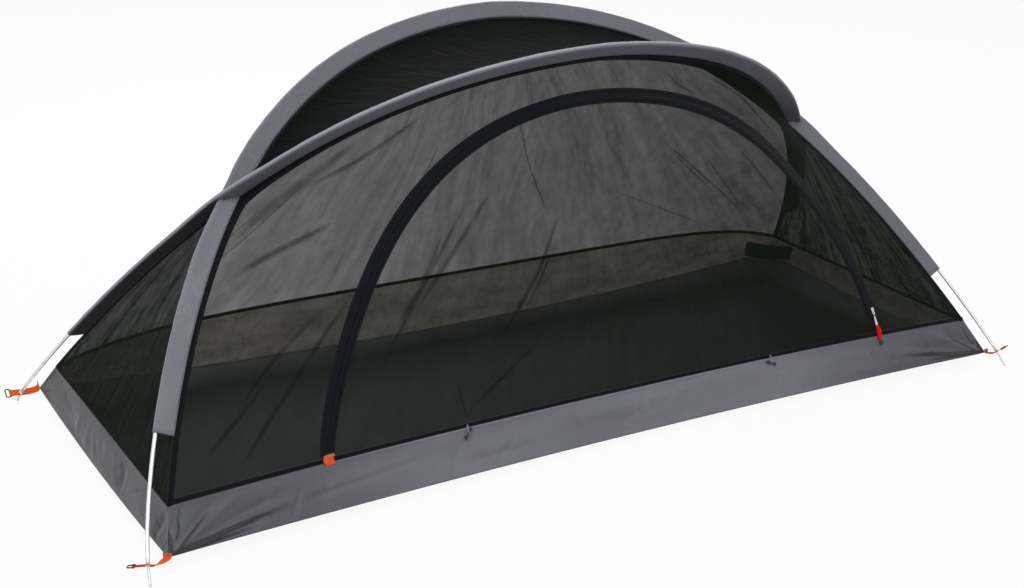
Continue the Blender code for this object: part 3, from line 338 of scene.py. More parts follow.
def skin(name, points, faces, finish, **layers):
    """A smooth mesh. Each layer has a place on the cloth for every corner of every face."""
    mesh = bpy.data.meshes.new(name)
    mesh.from_pydata(points, [], faces)
    for layer_name, places in layers.items():
        layer = mesh.uv_layers.new(name=layer_name)
        for spot, place in zip(layer.data, places):
            spot.uv = place
    mesh.shade_smooth()
    mesh.materials.append(finish.material)
    made = bpy.data.objects.new(name, mesh)
    scene.collection.objects.link(made)
    return made


def grid(name, rows, along, across, finish, closed=False, loop=False, pull=None):
    """A skin through rows of points. closed joins each row's ends, loop joins the last row to the first."""
    rows = np.asarray(rows, float)
    count, width = rows.shape[:2]
    spots = []
    for r in range(count if loop else count - 1):
        for k in range(width if closed else width - 1):
            spots.extend([(r, k), (r, k + 1), (r + 1, k + 1), (r + 1, k)])
    corners = [(a % count) * width + b % width for a, b in spots]
    faces = [corners[k:k + 4] for k in range(0, len(corners), 4)]
    along, across = np.asarray(along, float), np.asarray(across, float)
    layers = {"cloth": [(along[a, b] if along.ndim == 2 else along[a],
                         across[a, b] if across.ndim == 2 else across[b]) for a, b in spots]}
    if pull is not None:
        layers["pull"] = [(pull[0][a, b], pull[1][a, b]) for a, b in spots]
    return skin(name, rows.reshape(-1, 3).tolist(), faces, finish, **layers)


def faced(item, outward):
    """Turns a skin over if it faces away from the outward direction."""
    total = sum((np.array(face.normal) * face.area for face in item.data.polygons), np.zeros(3))
    if total @ np.array(outward, float) < 0:
        item.data.flip_normals()
    return item


def thickened(item, thickness, lining=None, offset=0.0):
    """Gives a skin its cloth's thickness, with a lining's finish on the back."""
    solid = item.modifiers.new("thickness", "SOLIDIFY")
    solid.thickness = thickness
    solid.offset = offset
    if lining is not None:
        item.data.materials.append(lining.material)
        solid.material_offset = 1
    return item


def sharpened(item, degrees=40.0):
    item.data.set_sharp_from_angle(angle=math.radians(degrees))
    return item


def capped(item):
    """Closes the open ends of a tube or a bar."""
    shape = bmesh.new()
    shape.from_mesh(item.data)
    bmesh.ops.holes_fill(shape, edges=[edge for edge in shape.edges if edge.is_boundary])
    bmesh.ops.recalc_face_normals(shape, faces=shape.faces)
    shape.to_mesh(item.data)
    shape.free()
    return item


def dressed(item, body, slot, *nodes):
    """A finished piece: it rides on a body and stands for CAD nodes; its slot is not used."""
    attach(item, body)
    if nodes:
        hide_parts(*nodes)
    return item


def ring_rows(hoop, stops):
    """Round rings along a hoop, from pairs of place and radius."""
    turns = np.linspace(0.0, 2 * math.pi, POLE_SIDES, endpoint=False)
    centre, _, inside, square = hoop.frames([place for place, _ in stops])
    radius = np.array([r for _, r in stops])[:, None, None]
    spokes = np.cos(turns)[None, :, None] * inside[:, None] + np.sin(turns)[None, :, None] * square[:, None]
    return centre[:, None] + spokes * radius


def alloy(name, colour, roughness):
    """Drawn and anodised tube: fine lines along it, small scuffs and a faint grey bloom."""
    made = Finish(name, colour, roughness, Metallic=0.85)
    lines = made.noise(made.cloth((30.0, 4000.0, 1.0)), 1.0, 3.0)
    scuffs = made.grain(60.0, 4.0).step(0.52, 0.7)
    made.feed("Base Color", (scuffs * 0.5 + made.grain(14.0) * 0.3).tones(colour, 1.0, 0.72))
    made.feed("Roughness", lines * 0.16 + scuffs * 0.14 + (roughness - 0.08))
    made.bump(lines, 0.00004, 0.4)
    return made


tube_finish = alloy("anodised_tube", (0.8, 0.8, 0.81), 0.26)
for side, hoop in HOOPS.items():
    joints = np.linspace(-hoop.half, hoop.half, POLE_SECTIONS + 1)
    for index in range(POLE_SECTIONS):
        low = joints[index] if index else -hoop.half + TIP_LENGTH
        last = index == POLE_SECTIONS - 1
        high = hoop.half - TIP_LENGTH if last else joints[index + 1] - SECTION_GAP
        wall = np.linspace(low + POLE_RIM, high - POLE_RIM, POLE_RINGS)
        rim = POLE_RADIUS - POLE_CHAMFER
        stops = [(low, rim), *[(p, POLE_RADIUS) for p in wall], (high, rim)]
        if last:
            stops.append((high, POLE_BORE))
        else:
            tip, root = joints[index + 1] + INSERT_LENGTH, high - INSERT_GRIP
            stops += [(high, INSERT_RADIUS), (tip - INSERT_NOSE, INSERT_RADIUS), (tip, INSERT_RADIUS - INSERT_NOSE / 2)]
            stops += [(tip, INSERT_BORE), (root, INSERT_BORE), (root, POLE_BORE)]
            wall = wall[wall < root - 0.002]
        stops += [(p, POLE_BORE) for p in wall[::-1]] + [(low, POLE_BORE)]
        places = [place for place, _ in stops]
        around = np.linspace(0.0, 2 * math.pi * POLE_RADIUS, POLE_SIDES + 1)
        name = f"{SIDE_NAMES[side]}_arch_pole_section_{index + 1}"
        tube = grid(f"{name}_tube", ring_rows(hoop, stops), [*places, places[0]], around, tube_finish, True, True)
        dressed(sharpened(tube), "tent", "silver_alloy", name)

# Shock cords: braided elastic through each hoop, hidden in the tube. Their CAD solids stay and
# take a braid.

cord_finish = Finish("shock_cord_braid", (0.75, 0.75, 0.74), 0.8)
braid = cord_finish.place(turn=(0.4, 0.5, 0.3))
strand = cord_finish.node("ShaderNodeTexWave", {"wave_type": "BANDS"}, {0: braid, 1: 240.0, 2: 0.4})
fleck = cord_finish.noise(braid, 900.0).step(0.6, 0.66)
cord_finish.feed("Base Color", (strand * 0.4 + fleck * 0.5).mixed((0.78, 0.78, 0.77), (0.3, 0.3, 0.31)))
cord_finish.bump(strand, 0.0002)
for side_name in SIDE_NAMES.values():
    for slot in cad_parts[f"{side_name}_arch_shock_cord"].material_slots:
        slot.material = cord_finish.material

# Pole tips: turned pins pressed into the tube's ends. Each passes through its corner's grommet
# and stands on a small knob.


def mm(*rows):
    """A table in millimetres, as metres."""
    return np.array(rows) / 1000.0


TIP_OUTLINE = mm((1.6, 1.4), (2.2, 2.4), (3.4, 3.1), (5.0, 3.1), (6.2, 2.6), (8.0, 2.5), (47.0, 2.5), (48.0, 2.8),
                 (49.0, 4.1), (49.4, 4.2), (49.7, 4.2), (49.7, 3.3), (79.0, 3.3), (80.0, 2.8))
tip_finish = alloy("turned_tip", (0.62, 0.62, 0.63), 0.34)
for side, hoop in HOOPS.items():
    for end in END_NAMES:
        leg = LEG_NAMES[(-side, end)]
        stops = [(end * (hoop.half - up), radius) for up, radius in TIP_OUTLINE]
        around = np.linspace(0.0, 0.016, POLE_SIDES + 1)
        pin = grid(f"tip_pin_{leg}", ring_rows(hoop, stops), TIP_OUTLINE[:, 0], around, tip_finish, True)
        dressed(sharpened(capped(pin)), "tent", "silver_alloy", f"pole_tip_{leg}")

# Sleeves: a strip of grey nylon folded round each pole and sewn down beside it, in four lengths.
# Two rows of stitches close the fold, and each lower end has a turned hem.

SLEEVE_RADIUS = 0.006
SLEEVE_PLY = 0.0007
SLEEVE_CLOTH = 0.0005
SLEEVE_STEP = 0.0085
SLEEVE_TRIM = 0.0012
SLEEVE_PUFF = 0.0004
SLEEVE_LEAN = 0.0012
SLEEVE_PINCH = 0.02
SLEEVE_OPENING = 82
SLEEVE_FLAT = 9
SLEEVE_ROUND = 13
SLEEVE_END_ROOM = 0.05
# Strength of the painted highlight along each sleeve's ridge over its pole
SLEEVE_RIDGE_HIGHLIGHT = 0.55
SLEEVE_STITCH_INSET = 0.003
SLEEVE_HEM = 0.009
NYLON = (0.176, 0.18, 0.206)
NYLON_INSIDE = (0.03, 0.031, 0.034)
CLOTH_GLOW = (0.003, 0.0027, 0.0023)
RIPSTOP = 0.005


def soft_noise(places, seed, length):
    """A smooth random line in -1 to 1 with swells about a length apart."""
    random = np.random.default_rng(seed)
    low, high = np.min(places) - 2 * length, np.max(places) + 2 * length
    knots = np.arange(low, high + length, length)
    values = random.uniform(-1.0, 1.0, len(knots))
    t = (np.asarray(places) - low) / length
    k = np.clip(t.astype(int), 0, len(knots) - 2)
    f = t - k
    f = f * f * (3.0 - 2.0 * f)
    return values[k] * (1.0 - f) + values[k + 1] * f


def stitches(along, across, row, pitch=0.0032):
    """A row of stitches: short raised threads in a line at a distance across the cloth."""
    thread = (along.wrapped(pitch) - pitch / 2).size().step(pitch * 0.4, pitch * 0.28)
    return (across - row).size().step(0.0007, 0.0004) * thread


def nylon(name, rows=(), hems=(), colour=NYLON, shaded=None, glow=0.0, ridge=0.0):
    """Coated ripstop nylon: plain weave, a faint grid, soft crumples, and rows of stitches."""
    made = Finish(name, colour, 0.5, Specular_IOR_Level=0.3, Sheen_Weight=0.2, Sheen_Roughness=0.4)
    if glow:
        made.feed("Subsurface Weight", glow)
        made.feed("Subsurface Radius", CLOTH_GLOW)
        made.feed("Subsurface Scale", 1.0)
    along, across, _ = made.cloth().split()
    weave = (along * 5200.0).sine() * (across * 5200.0).sine()
    squares = [(way.wrapped(RIPSTOP) - RIPSTOP / 2).size().step(0.00205, 0.00235) for way in (along, across)]
    lines = squares[0].either(squares[1])
    broad = made.grain(3.2, 3.0)
    creases = made.grain(13.0, 4.0, (1.0, 1.7, 1.0), (0.5, 0.3, 0.7), 0.55)
    folds = (creases - 0.5).size().step(0.03, 0.0) * made.grain(5.0, 1.0).step(0.45, 0.65)
    dents = made.grain(26.0, 3.0, (1.0, 1.0, 2.0))
    shade = broad.step(0.3, 0.7).tones(colour, 0.93, 1.07)
    shade = (folds * 0.2 + lines * 0.04).mixed(shade, toned(colour, 1.7))
    # shaded gives where painted shade darkens the nylon, towards a much darker copy of its colour
    if shaded is not None:
        shade = shaded(made, along, across).mixed(shade, toned(colour, 0.13))
    # A painted highlight along the strip's ridge over the pole
    if ridge:
        shade = (across.size().step(0.005, 0.0012) * ridge).mixed(shade, toned(colour, 2.6))
    sewn = None
    for one in [stitches(along, across, row) for row in rows] + [stitches(across, along, hem) for hem in hems]:
        sewn = one if sewn is None else sewn + one
    height = dents * 0.5 + folds * 0.5 + lines * 0.03 + weave * 0.02
    if sewn is not None:
        shade = sewn.mixed(shade, toned(colour, 0.45))
        height = height + sewn * 0.25
    made.feed("Base Color", shade)
    made.feed("Roughness", broad * 0.12 + 0.44 + folds * 0.04)
    made.bump(height, 0.0016, 0.6)
    return made


def sleeve_rows(hoop, places, seams, seed):
    """The folded strip's section at each place: round over the pole, then flat to the seam."""
    centre, _, inside, square = hoop.frames(places)
    reach = hoop.seam(seams) - centre
    tails = np.linalg.norm(reach, axis=-1) - SLEEVE_TRIM
    toward = unit(reach)
    puff = soft_noise(places, seed, 0.026) * SLEEVE_PUFF
    lean = soft_noise(places, seed + 1, 0.06) * SLEEVE_LEAN
    pinch = np.exp(-((np.abs(places) - hoop.poles_cross) / SLEEVE_PINCH) ** 2)
    around = np.linspace(math.radians(SLEEVE_OPENING), math.radians(360 - SLEEVE_OPENING), SLEEVE_ROUND)
    flat = np.linspace(1.0, 0.0, SLEEVE_FLAT, endpoint=False)
    rows = []
    for k in range(len(places)):
        radius = SLEEVE_RADIUS + puff[k]
        start = math.cos(around[0]) * radius
        distance = start + (tails[k] - start) * flat
        wide = SLEEVE_PLY + (radius - SLEEVE_PLY) * (1.0 - flat) ** (1.0 + 5.0 * pinch[k])
        bend = lean[k] * np.sin(flat * math.pi) * (1.0 - pinch[k])
        section = [*zip(distance, wide + bend), *[(math.cos(t) * radius, math.sin(t) * radius) for t in around],
                   *[*zip(distance, bend - wide)][::-1]]
        row = []
        for a, b in section:
            share = min(max((a - SLEEVE_RADIUS) / SLEEVE_RADIUS, 0.0), 1.0)
            row.append(centre[k] + a * unit(inside[k] * (1.0 - share) + toward[k] * share) + b * square[k])
        rows.append(row)
    return np.array(rows)


def sleeve(name, hoop, low, high, seam_low, seam_high, seed, shaded=None, colour=NYLON):
    places = np.linspace(low, high, max(int((high - low) / SLEEVE_STEP), 8))
    room = np.minimum(places - low, high - places) / SLEEVE_END_ROOM
    ends = np.interp(places, [low, high], [seam_low, seam_high])
    seams = np.where(room > 1.0, places, places + (ends - places) * (1.0 - room))
    rows = sleeve_rows(hoop, places, seams, seed)
    across = run_lengths(rows[len(rows) // 2])
    edge = across[-1] / 2
    across = [*(across - edge), edge + 2 * SLEEVE_PLY]
    finish = nylon(f"{name}_nylon", (edge - SLEEVE_STITCH_INSET, SLEEVE_STITCH_INSET - edge),
                   (low + SLEEVE_HEM, high - SLEEVE_HEM), colour, shaded, ridge=SLEEVE_RIDGE_HIGHLIGHT)
    lining = Finish(f"{name}_lining", NYLON_INSIDE, 0.7, Specular_IOR_Level=0.1)
    lining.feed("Base Color", lining.grain(300.0).tones(NYLON_INSIDE, 1.0, 1.6))
    made = grid(f"{name}_cloth", rows, places, across, finish, True)
    k, middle = len(places) // 2, SLEEVE_FLAT + SLEEVE_ROUND // 2
    face = made.data.polygons[k * rows.shape[1] + middle]
    if np.array(face.normal) @ -hoop.frames(places)[2][k] < 0:
        made.data.flip_normals()
    dressed(thickened(made, SLEEVE_CLOTH, lining, -1.0), "tent", "grey_nylon", name)


fore, aft = HOOPS[FRONT], HOOPS[REAR]
end_place, cross, seam_cross = fore.sleeve_end, fore.poles_cross, fore.seams_cross


def painted_shade_front_arch(finish, along, across):
    """1 where the front arch's strip gets painted shade: on its left leg and its right end, beside the ridge."""
    beside = across.size().step(0.002, 0.006)
    return (along.step(0.01 - cross, -0.01 - cross) * 0.94 + along.step(0.62, 0.96) * 0.62) * beside


def painted_shade_rear_right_leg(finish, along, across):
    """1 on the inner half of the rear-right leg's strip, where it gets painted shade."""
    return across.step(0.0024, 0.007)


sleeve("front_arch_sleeve", fore, -end_place, cross - 0.013, -end_place, seam_cross - 0.004, 11, painted_shade_front_arch)
sleeve("rear_right_leg_sleeve", fore, cross + 0.0065, end_place, seam_cross + 0.004, end_place, 12, painted_shade_rear_right_leg)
sleeve("rear_arch_sleeve", aft, 0.013 - cross, end_place, 0.004 - seam_cross, end_place, 13)
# The front-left leg's strip takes a lighter copy of the nylon: painted light on the side the lamp falls on
sleeve("front_left_leg_sleeve", aft, -end_place, 0.002 - cross, -end_place, -seam_cross - 0.001, 14,
       colour=toned(NYLON, 1.16))

# Bathtub: a floor and four low walls of the same coated nylon, seamed at the corners. The floor
# lies flat on the ground and ramps up to its lifted edges. The walls' inner coating is lighter, and
# painted lighter still as a glow of the light that shines through the wall.

FLOOR_CORNER_LIFT = 0.038
FLOOR_MID_LIFT = 0.022
FLOOR_BOW = 0.06
FLOOR_RAMP = 0.11
FRONT_TOP = (0.013, 0.022, 2.4)
REAR_TOP = (0.067, 0.004, 6.0)
CLOTH_THICKNESS = 0.0006
EDGE = 0.0006
WALL_INSIDE_WITH_GLOW = (0.6, 0.6, 0.61)
FLOOR_COLOUR = (0.1, 0.103, 0.11)
FLOOR_RIPPLES = 46
RIPPLE_HEIGHT = 0.0018
FLOOR_CLOTH_LIFT = 0.0004
WALL_ROWS = 29
LONG_COLUMNS, END_COLUMNS = 521, 211
LONG_WALL_DEPTHS = 0.455, 0.425
END_WALL_REACHES = 1.145, 1.125
END_WALL_HALF = 0.4
WALL_SLOPE = {FRONT: (0.0, -0.9, 0.4), REAR: (0.0, 0.97, 0.2)}
# Length and depth of the broad swells in a wall
WALL_SWELLS = ((0.16, 0.0046), (0.22, 0.003), (0.13, 0.0014))
FLOOR_CORNER = np.abs(aft.seam(-aft.leg_place(aft.seam_line, 2, FLOOR_CORNER_LIFT)))
TOP_CORNER = np.abs(aft.seam(-aft.wall_top))


def floor_edge(u, v):
    """The floor's outline. One of u and v is -1 or 1."""
    u, v = np.asarray(u, float), np.asarray(v, float)
    far = np.where(np.abs(v) >= 1.0, u, v)
    height = FLOOR_MID_LIFT + (FLOOR_CORNER_LIFT - FLOOR_MID_LIFT) * far**2
    depth = v * (FLOOR_CORNER[1] - FLOOR_BOW * (1.0 - u**2))
    return np.stack([u * FLOOR_CORNER[0] + 0.0 * v, depth, height], -1)


def long_top(side, u):
    """The top edge of a long wall: it rises and draws in towards its middle."""
    rise, bow, power = FRONT_TOP if side == FRONT else REAR_TOP
    swell = 1.0 - np.abs(u) ** power
    return np.stack([u * TOP_CORNER[0], side * (TOP_CORNER[1] - bow * swell), WALL_TOP_HEIGHT + rise * swell], -1)


def end_top(side, v):
    v = np.asarray(v, float)
    return np.stack([side * TOP_CORNER[0] + 0.0 * v, v * TOP_CORNER[1], WALL_TOP_HEIGHT + 0.0 * v], -1)


def edge_fade(count, points):
    """0 at both ends of a row of points, rising to 1 over a few of them."""
    return np.clip(np.minimum(np.arange(count), np.arange(count)[::-1]) / points, 0.0, 1.0)


def creased(rows, creases, outward, flat_axis):
    """Pushes a skin in and out along soft straight creases, fading to nothing at its edges."""
    rows = np.array(rows, float)
    count, wide = rows.shape[:2]
    share, reach = np.linspace(0.0, 1.0, count)[:, None], rows[0, :, 1 - flat_axis]
    push = np.zeros((count, wide))
    for k, (length, depth) in enumerate(WALL_SWELLS):
        push += np.sin(share * (k + 1) * math.pi) * soft_noise(reach, wide + k, length) * depth
    for start, stop, width, depth in creases:
        start, stop = np.array(start, float), np.array(stop, float)
        start[flat_axis] = stop[flat_axis] = 0.0
        way = unit(stop - start)
        length = np.linalg.norm(stop - start)
        off = rows - start
        off[..., flat_axis] = 0.0
        t = off @ way
        apart = np.linalg.norm(off - t[..., None] * way, axis=-1)
        fade = np.clip(np.minimum(t * 2.5, length - t) / (0.35 * length), 0.0, 1.0)
        push += depth * np.exp(-((apart / width) ** 2)) * fade * fade * (3.0 - 2.0 * fade)
    push *= edge_fade(count, 3.0)[:, None] * edge_fade(wide, 3.0)[None, :]
    return rows + push[..., None] * outward


def flat_lengths(rows):
    """Metres along the rows from their middle and across them from the first, point by point."""
    rows = np.asarray(rows, float)
    along = np.array([run_lengths(row) for row in rows])
    across = np.array([run_lengths(column) for column in rows.transpose(1, 0, 2)]).T
    return along - along[:, -1:] / 2, across


# The lining's pale colour is partly its lighter coating and partly a painted glow of light through the wall
wall_lining = Finish("wall_lining", WALL_INSIDE_WITH_GLOW, 0.6, Specular_IOR_Level=0.15, Subsurface_Weight=0.5,
                     Subsurface_Radius=CLOTH_GLOW, Subsurface_Scale=1.0)
blotch = wall_lining.grain(9.0, 3.0, (1.0, 1.0, 2.5)).step(0.3, 0.7)
wrinkle_and_shade = (wall_lining.grain(18.0, 3.0) - 0.5).size().step(0.04, 0.0)
# Darker along the wrinkles: painted shade in their creases, besides their bump
wall_lining.feed("Base Color", (blotch * 0.8 + wrinkle_and_shade * 0.35).tones(WALL_INSIDE_WITH_GLOW, 1.12, 0.62))
wall_lining.bump(wrinkle_and_shade, 0.001, 0.4)


def painted_fold_shade(lines, ends, plain):
    """Painted shade on a wall, standing in for shadow: dark in the folds that leave its corners, darker towards its
    ends, and darker all over by plain.

    A line has its start and stop along and up the wall in mm, its width in mm and its strength.
    """
    def shaded(made, along, across):
        wobble = made.grain(30.0) * 0.006 - 0.003
        total = along.size().step(0.38, 0.98) * ends + plain
        for end in END_NAMES:
            for *line, strength in lines:
                a0, c0, a1, c1, width = mm(line)[0]
                a0, a1 = a0 * end, a1 * end
                length = math.hypot(a1 - a0, c1 - c0)
                ca, cc = (a1 - a0) / length, (c1 - c0) / length
                t = (along - a0) * ca + (across - c0) * cc
                apart = ((across - c0) * ca - (along - a0) * cc + wobble).size()
                shape = apart.step(width, width * 0.1) * t.step(length, length * 0.35) * t.step(0.0, 0.004)
                total = total + shape * strength
        return total
    return shaded


def wall(name, low, high, outward, creases, size, flat_axis=1, shaded=None, colour=NYLON):
    """One wall from the floor's edge to its top edge."""
    shares = np.linspace(0.0, 1.0, WALL_ROWS)[:, None, None]
    rows = creased(low[None] + (high - low)[None] * shares, creases, np.array(outward), flat_axis)
    along, across = flat_lengths(rows)
    deep = float(across[-1].mean())
    finish = nylon(f"{name}_nylon", (deep - 0.006,), (), colour, shaded, glow=0.5)
    made = faced(grid(f"{name}_cloth", rows, along, across, finish), outward)
    dressed(thickened(made, CLOTH_THICKNESS, wall_lining), "tent", "grey_nylon", name)


random = np.random.default_rng(21)


def wall_creases(count, side, lengthwise):
    """Pull lines in a wall: short ones down from its top, and long shallow ones along it."""
    made = []
    for k in range(count):
        at = random.uniform(-1.0, 1.0)
        long = k % 3 == 0
        reach = random.uniform(0.2, 0.45) if long else random.uniform(0.06, 0.14)
        low, high = (random.uniform(0.05, 0.09),) * 2 if long else (0.035, random.uniform(0.09, 0.12))
        reach = reach if lengthwise else reach * 0.5
        lean = reach * random.choice((-1.0, 1.0)) * (1.0 if long else 0.5)
        high = high + random.uniform(-0.02, 0.03) if long else high
        if lengthwise:
            near, far = [side * depth for depth in LONG_WALL_DEPTHS]
            start, stop = (at, near, low), (at + lean, far, high)
        else:
            near, far = [side * reach for reach in END_WALL_REACHES]
            start, stop = (near, at * END_WALL_HALF, low), (far, at * END_WALL_HALF + lean, high)
        width = random.uniform(0.006, 0.016)
        made.append((start, stop, width, random.uniform(-0.003, 0.003)))
    return made


# Rise, reach and depth of the long pulls that run in a wall from a corner, in mm
CORNER_PULLS = mm((14, 220, 5.0), (26, 300, -4.2), (44, 360, 5.0), (60, 300, -4.4), (78, 200, 4.2), (70, 120, -4.0))
CORNER_PULL_WIDTH = 0.008
# Painted shade lines along the folds that leave the corners of the long and the end walls, as painted_fold_shade takes
# them
WALL_FOLD_SHADE_LINES = ((1142, 3, 860, 46, 9.5, 1.0), (1146, 0, 1144, 125, 8.0, 0.75), (1130, 10, 1035, 88, 6.0, 0.62),
              (1100, 4, 930, 16, 5.0, 0.6), (1132, 30, 1095, 112, 4.4, 0.5))
END_FOLD_SHADE_LINES = ((450, 6, 340, 70, 6.0, 0.34), (452, 0, 450, 110, 6.0, 0.34), (440, 0, 240, 40, 7.0, 0.3),
             (300, 90, 180, 20, 7.0, 0.2), (150, 85, 60, 15, 8.0, 0.18))
steps = np.linspace(-1.0, 1.0, LONG_COLUMNS)
# The front wall takes a lighter copy of the nylon as painted light, and painted shade from its fold lines
for side, count, size, shaded, colour in (
        (FRONT, 44, (2.27, 0.115), painted_fold_shade(WALL_FOLD_SHADE_LINES, 0.62, -0.06), toned(NYLON, 1.22)),
        (REAR, 36, (2.27, 0.15), None, NYLON)):
    creases = wall_creases(count, side, True)
    for end in END_NAMES:
        start = (end * 1.165, 0.0, FLOOR_CORNER_LIFT - 0.006)
        creases += [(start, (end * (1.14 - reach), 0.0, FLOOR_CORNER_LIFT + rise), CORNER_PULL_WIDTH, depth)
                    for rise, reach, depth in CORNER_PULLS]
    wall(f"{SIDE_NAMES[side]}_wall", floor_edge(steps, np.full_like(steps, side)), long_top(side, steps),
         WALL_SLOPE[side], creases, size, shaded=shaded, colour=colour)
steps = np.linspace(-1.0, 1.0, END_COLUMNS)
# Painted shade darkens each end wall all over, the left one more than the right
for end, plain in ((LEFT, 0.58), (RIGHT, 0.3)):
    wall(f"{END_NAMES[end]}_wall", floor_edge(np.full_like(steps, end), steps), end_top(end, steps),
         (end * 0.95, 0.0, 0.3), wall_creases(22, end, False), (0.9, 0.095), 0, painted_fold_shade(END_FOLD_SHADE_LINES, 0.0, plain))

u_grid, v_grid = np.meshgrid(np.linspace(-1.0, 1.0, 261), np.linspace(-1.0, 1.0, 121))
x_grid = u_grid * FLOOR_CORNER[0]
y_grid = v_grid * (FLOOR_CORNER[1] - FLOOR_BOW * (1.0 - u_grid**2))
near_long = np.clip(1.0 - (1.0 - np.abs(v_grid)) * FLOOR_CORNER[1] / FLOOR_RAMP, 0.0, None)
near_end = np.clip(1.0 - (1.0 - np.abs(u_grid)) * FLOOR_CORNER[0] / FLOOR_RAMP, 0.0, None)
lift_long = floor_edge(u_grid, np.ones_like(u_grid))[..., 2] * near_long**2
lift_end = floor_edge(np.ones_like(v_grid), v_grid)[..., 2] * near_end**2
ripple = np.zeros_like(u_grid)
for _ in range(FLOOR_RIPPLES):
    turn = random.uniform(0.0, math.pi)
    off = (x_grid - random.uniform(-1.1, 1.1)) * math.cos(turn) + (y_grid - random.uniform(-0.4, 0.4)) * math.sin(turn)
    ripple += random.uniform(0.2, 1.0) * np.exp(-((off / random.uniform(0.01, 0.03)) ** 2))
edges = np.clip((1.0 - np.abs(u_grid)) * 20.0, 0.0, 1.0)
ripple = RIPPLE_HEIGHT * ripple / ripple.max() * np.clip(1.0 - near_long, 0.0, 1.0)
ripple = ripple * np.clip(1.0 - near_end, 0.0, 1.0) * edges
rows = np.stack([x_grid, y_grid, FLOOR_CLOTH_LIFT + np.maximum(lift_long, lift_end) + ripple], -1)
floor_finish = nylon("floor_nylon", colour=FLOOR_COLOUR)
spot = floor_finish.place().split()
wavy = floor_finish.grain(5.0, 3.0) * 0.1 - 0.05
raised = (spot[1].size() + wavy).step(0.35, 0.455).either((spot[0].size() + wavy).step(1.03, 1.15))
floor_shade = floor_finish.grain(4.0, 3.0, (1.0, 1.6, 1.0)).step(0.3, 0.7).tones(FLOOR_COLOUR, 0.9, 1.1)
floor_finish.feed("Base Color", (raised * 0.8).mixed(floor_shade, WALL_INSIDE_WITH_GLOW))
floor_cloth = faced(grid("floor_sheet_cloth", rows, *flat_lengths(rows), floor_finish), (0.0, 0.0, 1.0))
dressed(thickened(floor_cloth, CLOTH_THICKNESS), "tent", "grey_nylon", "floor_sheet")

# Net: fine black mesh in six panels, seamed to the sleeves and the bathtub. The long sides hang
# in a smooth stretched curve from the poles' seams to the wall's top. Pulls run down from the roof.

NET_BLACK = (0.007, 0.0108, 0.0072)
ROOF_BLACK = (0.0032, 0.0043, 0.0035)
LONG_COVER = 0.715
LONG_REACH = 0.075
END_COVER = 0.933
ROOF_COVER = 0.9955
PULL_APEX = 1.15
PLEAT_LIFT = 0.0009
FACE_ROWS = 29
FACE_STEP = 0.017
RELAX_ROUNDS = 1600
NET_COLUMNS = 61
ROOF_COLUMNS = 41
CROSSING_ROOM = 0.01
ROOF_SAG = 0.03
ROOF_SLANT = 0.6
END_APEX = 0.68


def relax(values, across, along):
    """Settles a skin between its fixed edges, as a stretched net settles."""
    pull_across = (1.0 / across**2 * np.ones_like(values))[1:-1, 1:-1]
    pull_along = (1.0 / along**2 * np.ones_like(values))[1:-1, 1:-1]
    for _ in range(RELAX_ROUNDS):
        beside = values[1:-1, 2:] + values[1:-1, :-2]
        above = values[2:, 1:-1] + values[:-2, 1:-1]
        values[1:-1, 1:-1] = (pull_across * beside + pull_along * above) / (2 * (pull_across + pull_along))
    return values


def upper_edge(side, leg_steps, arch_steps):
    """The upper outline of a long side: one leg's seam, the arch's, and the other leg's."""
    leg, arch = HOOPS[-side], HOOPS[side]
    left = leg.seam(np.linspace(-leg.wall_top, -leg.seams_cross, leg_steps))
    top = arch.seam(np.linspace(-arch.seams_cross, arch.seams_cross, arch_steps + 2)[1:-1])
    return np.concatenate([left, top, left[::-1] * (-1.0, 1.0, 1.0)])


class LongFace:
    """The skin of a long side: its depth at any place seen square on from that side."""

    def __init__(self, side):
        self.side = side
        self.x, depth, self.top = upper_edge(side, 24, 60).T
        _, low, self.bottom = long_top(side, self.x / TOP_CORNER[0]).T
        depth = low + (depth - low) * np.linspace(0.0, 1.0, FACE_ROWS)[:, None]
        across = np.maximum(np.gradient(self.x), 0.001)[None, :]
        along = np.maximum((self.top - self.bottom) / (FACE_ROWS - 1), EDGE)[None, :]
        self.depth = relax(depth, across, along)

    def point(self, x, z):
        """The point of the skin in front of x and z, between four settled points."""
        x, z = np.asarray(x, float), np.asarray(z, float)
        low, high = np.interp(x, self.x, self.bottom), np.interp(x, self.x, self.top)
        v = np.clip((z - low) / np.maximum(high - low, EDGE), 0.0, 1.0) * (FACE_ROWS - 1)
        u = np.interp(x, self.x, np.arange(len(self.x)))
        i, j = np.minimum(u.astype(int), len(self.x) - 2), np.minimum(v.astype(int), FACE_ROWS - 2)
        a, b = u - i, v - j
        lower = self.depth[j, i] * (1 - a) + self.depth[j, i + 1] * a
        upper = self.depth[j + 1, i] * (1 - a) + self.depth[j + 1, i + 1] * a
        return np.stack([x, lower * (1 - b) + upper * b, z], -1)

    def outward(self, x, z):
        low = np.maximum(z - FACE_STEP, np.interp(x, self.x, self.bottom))
        along_x = self.point(x + FACE_STEP, z) - self.point(x - FACE_STEP, z)
        along_z = self.point(x, z + FACE_STEP) - self.point(x, low)
        return unit(np.cross(along_x, along_z)) * -self.side

    def off(self, x, z, by):
        return self.point(x, z) + self.outward(x, z) * np.broadcast_to(by, np.shape(x))[..., None]


FACES = {FRONT: LongFace(FRONT), REAR: LongFace(REAR)}


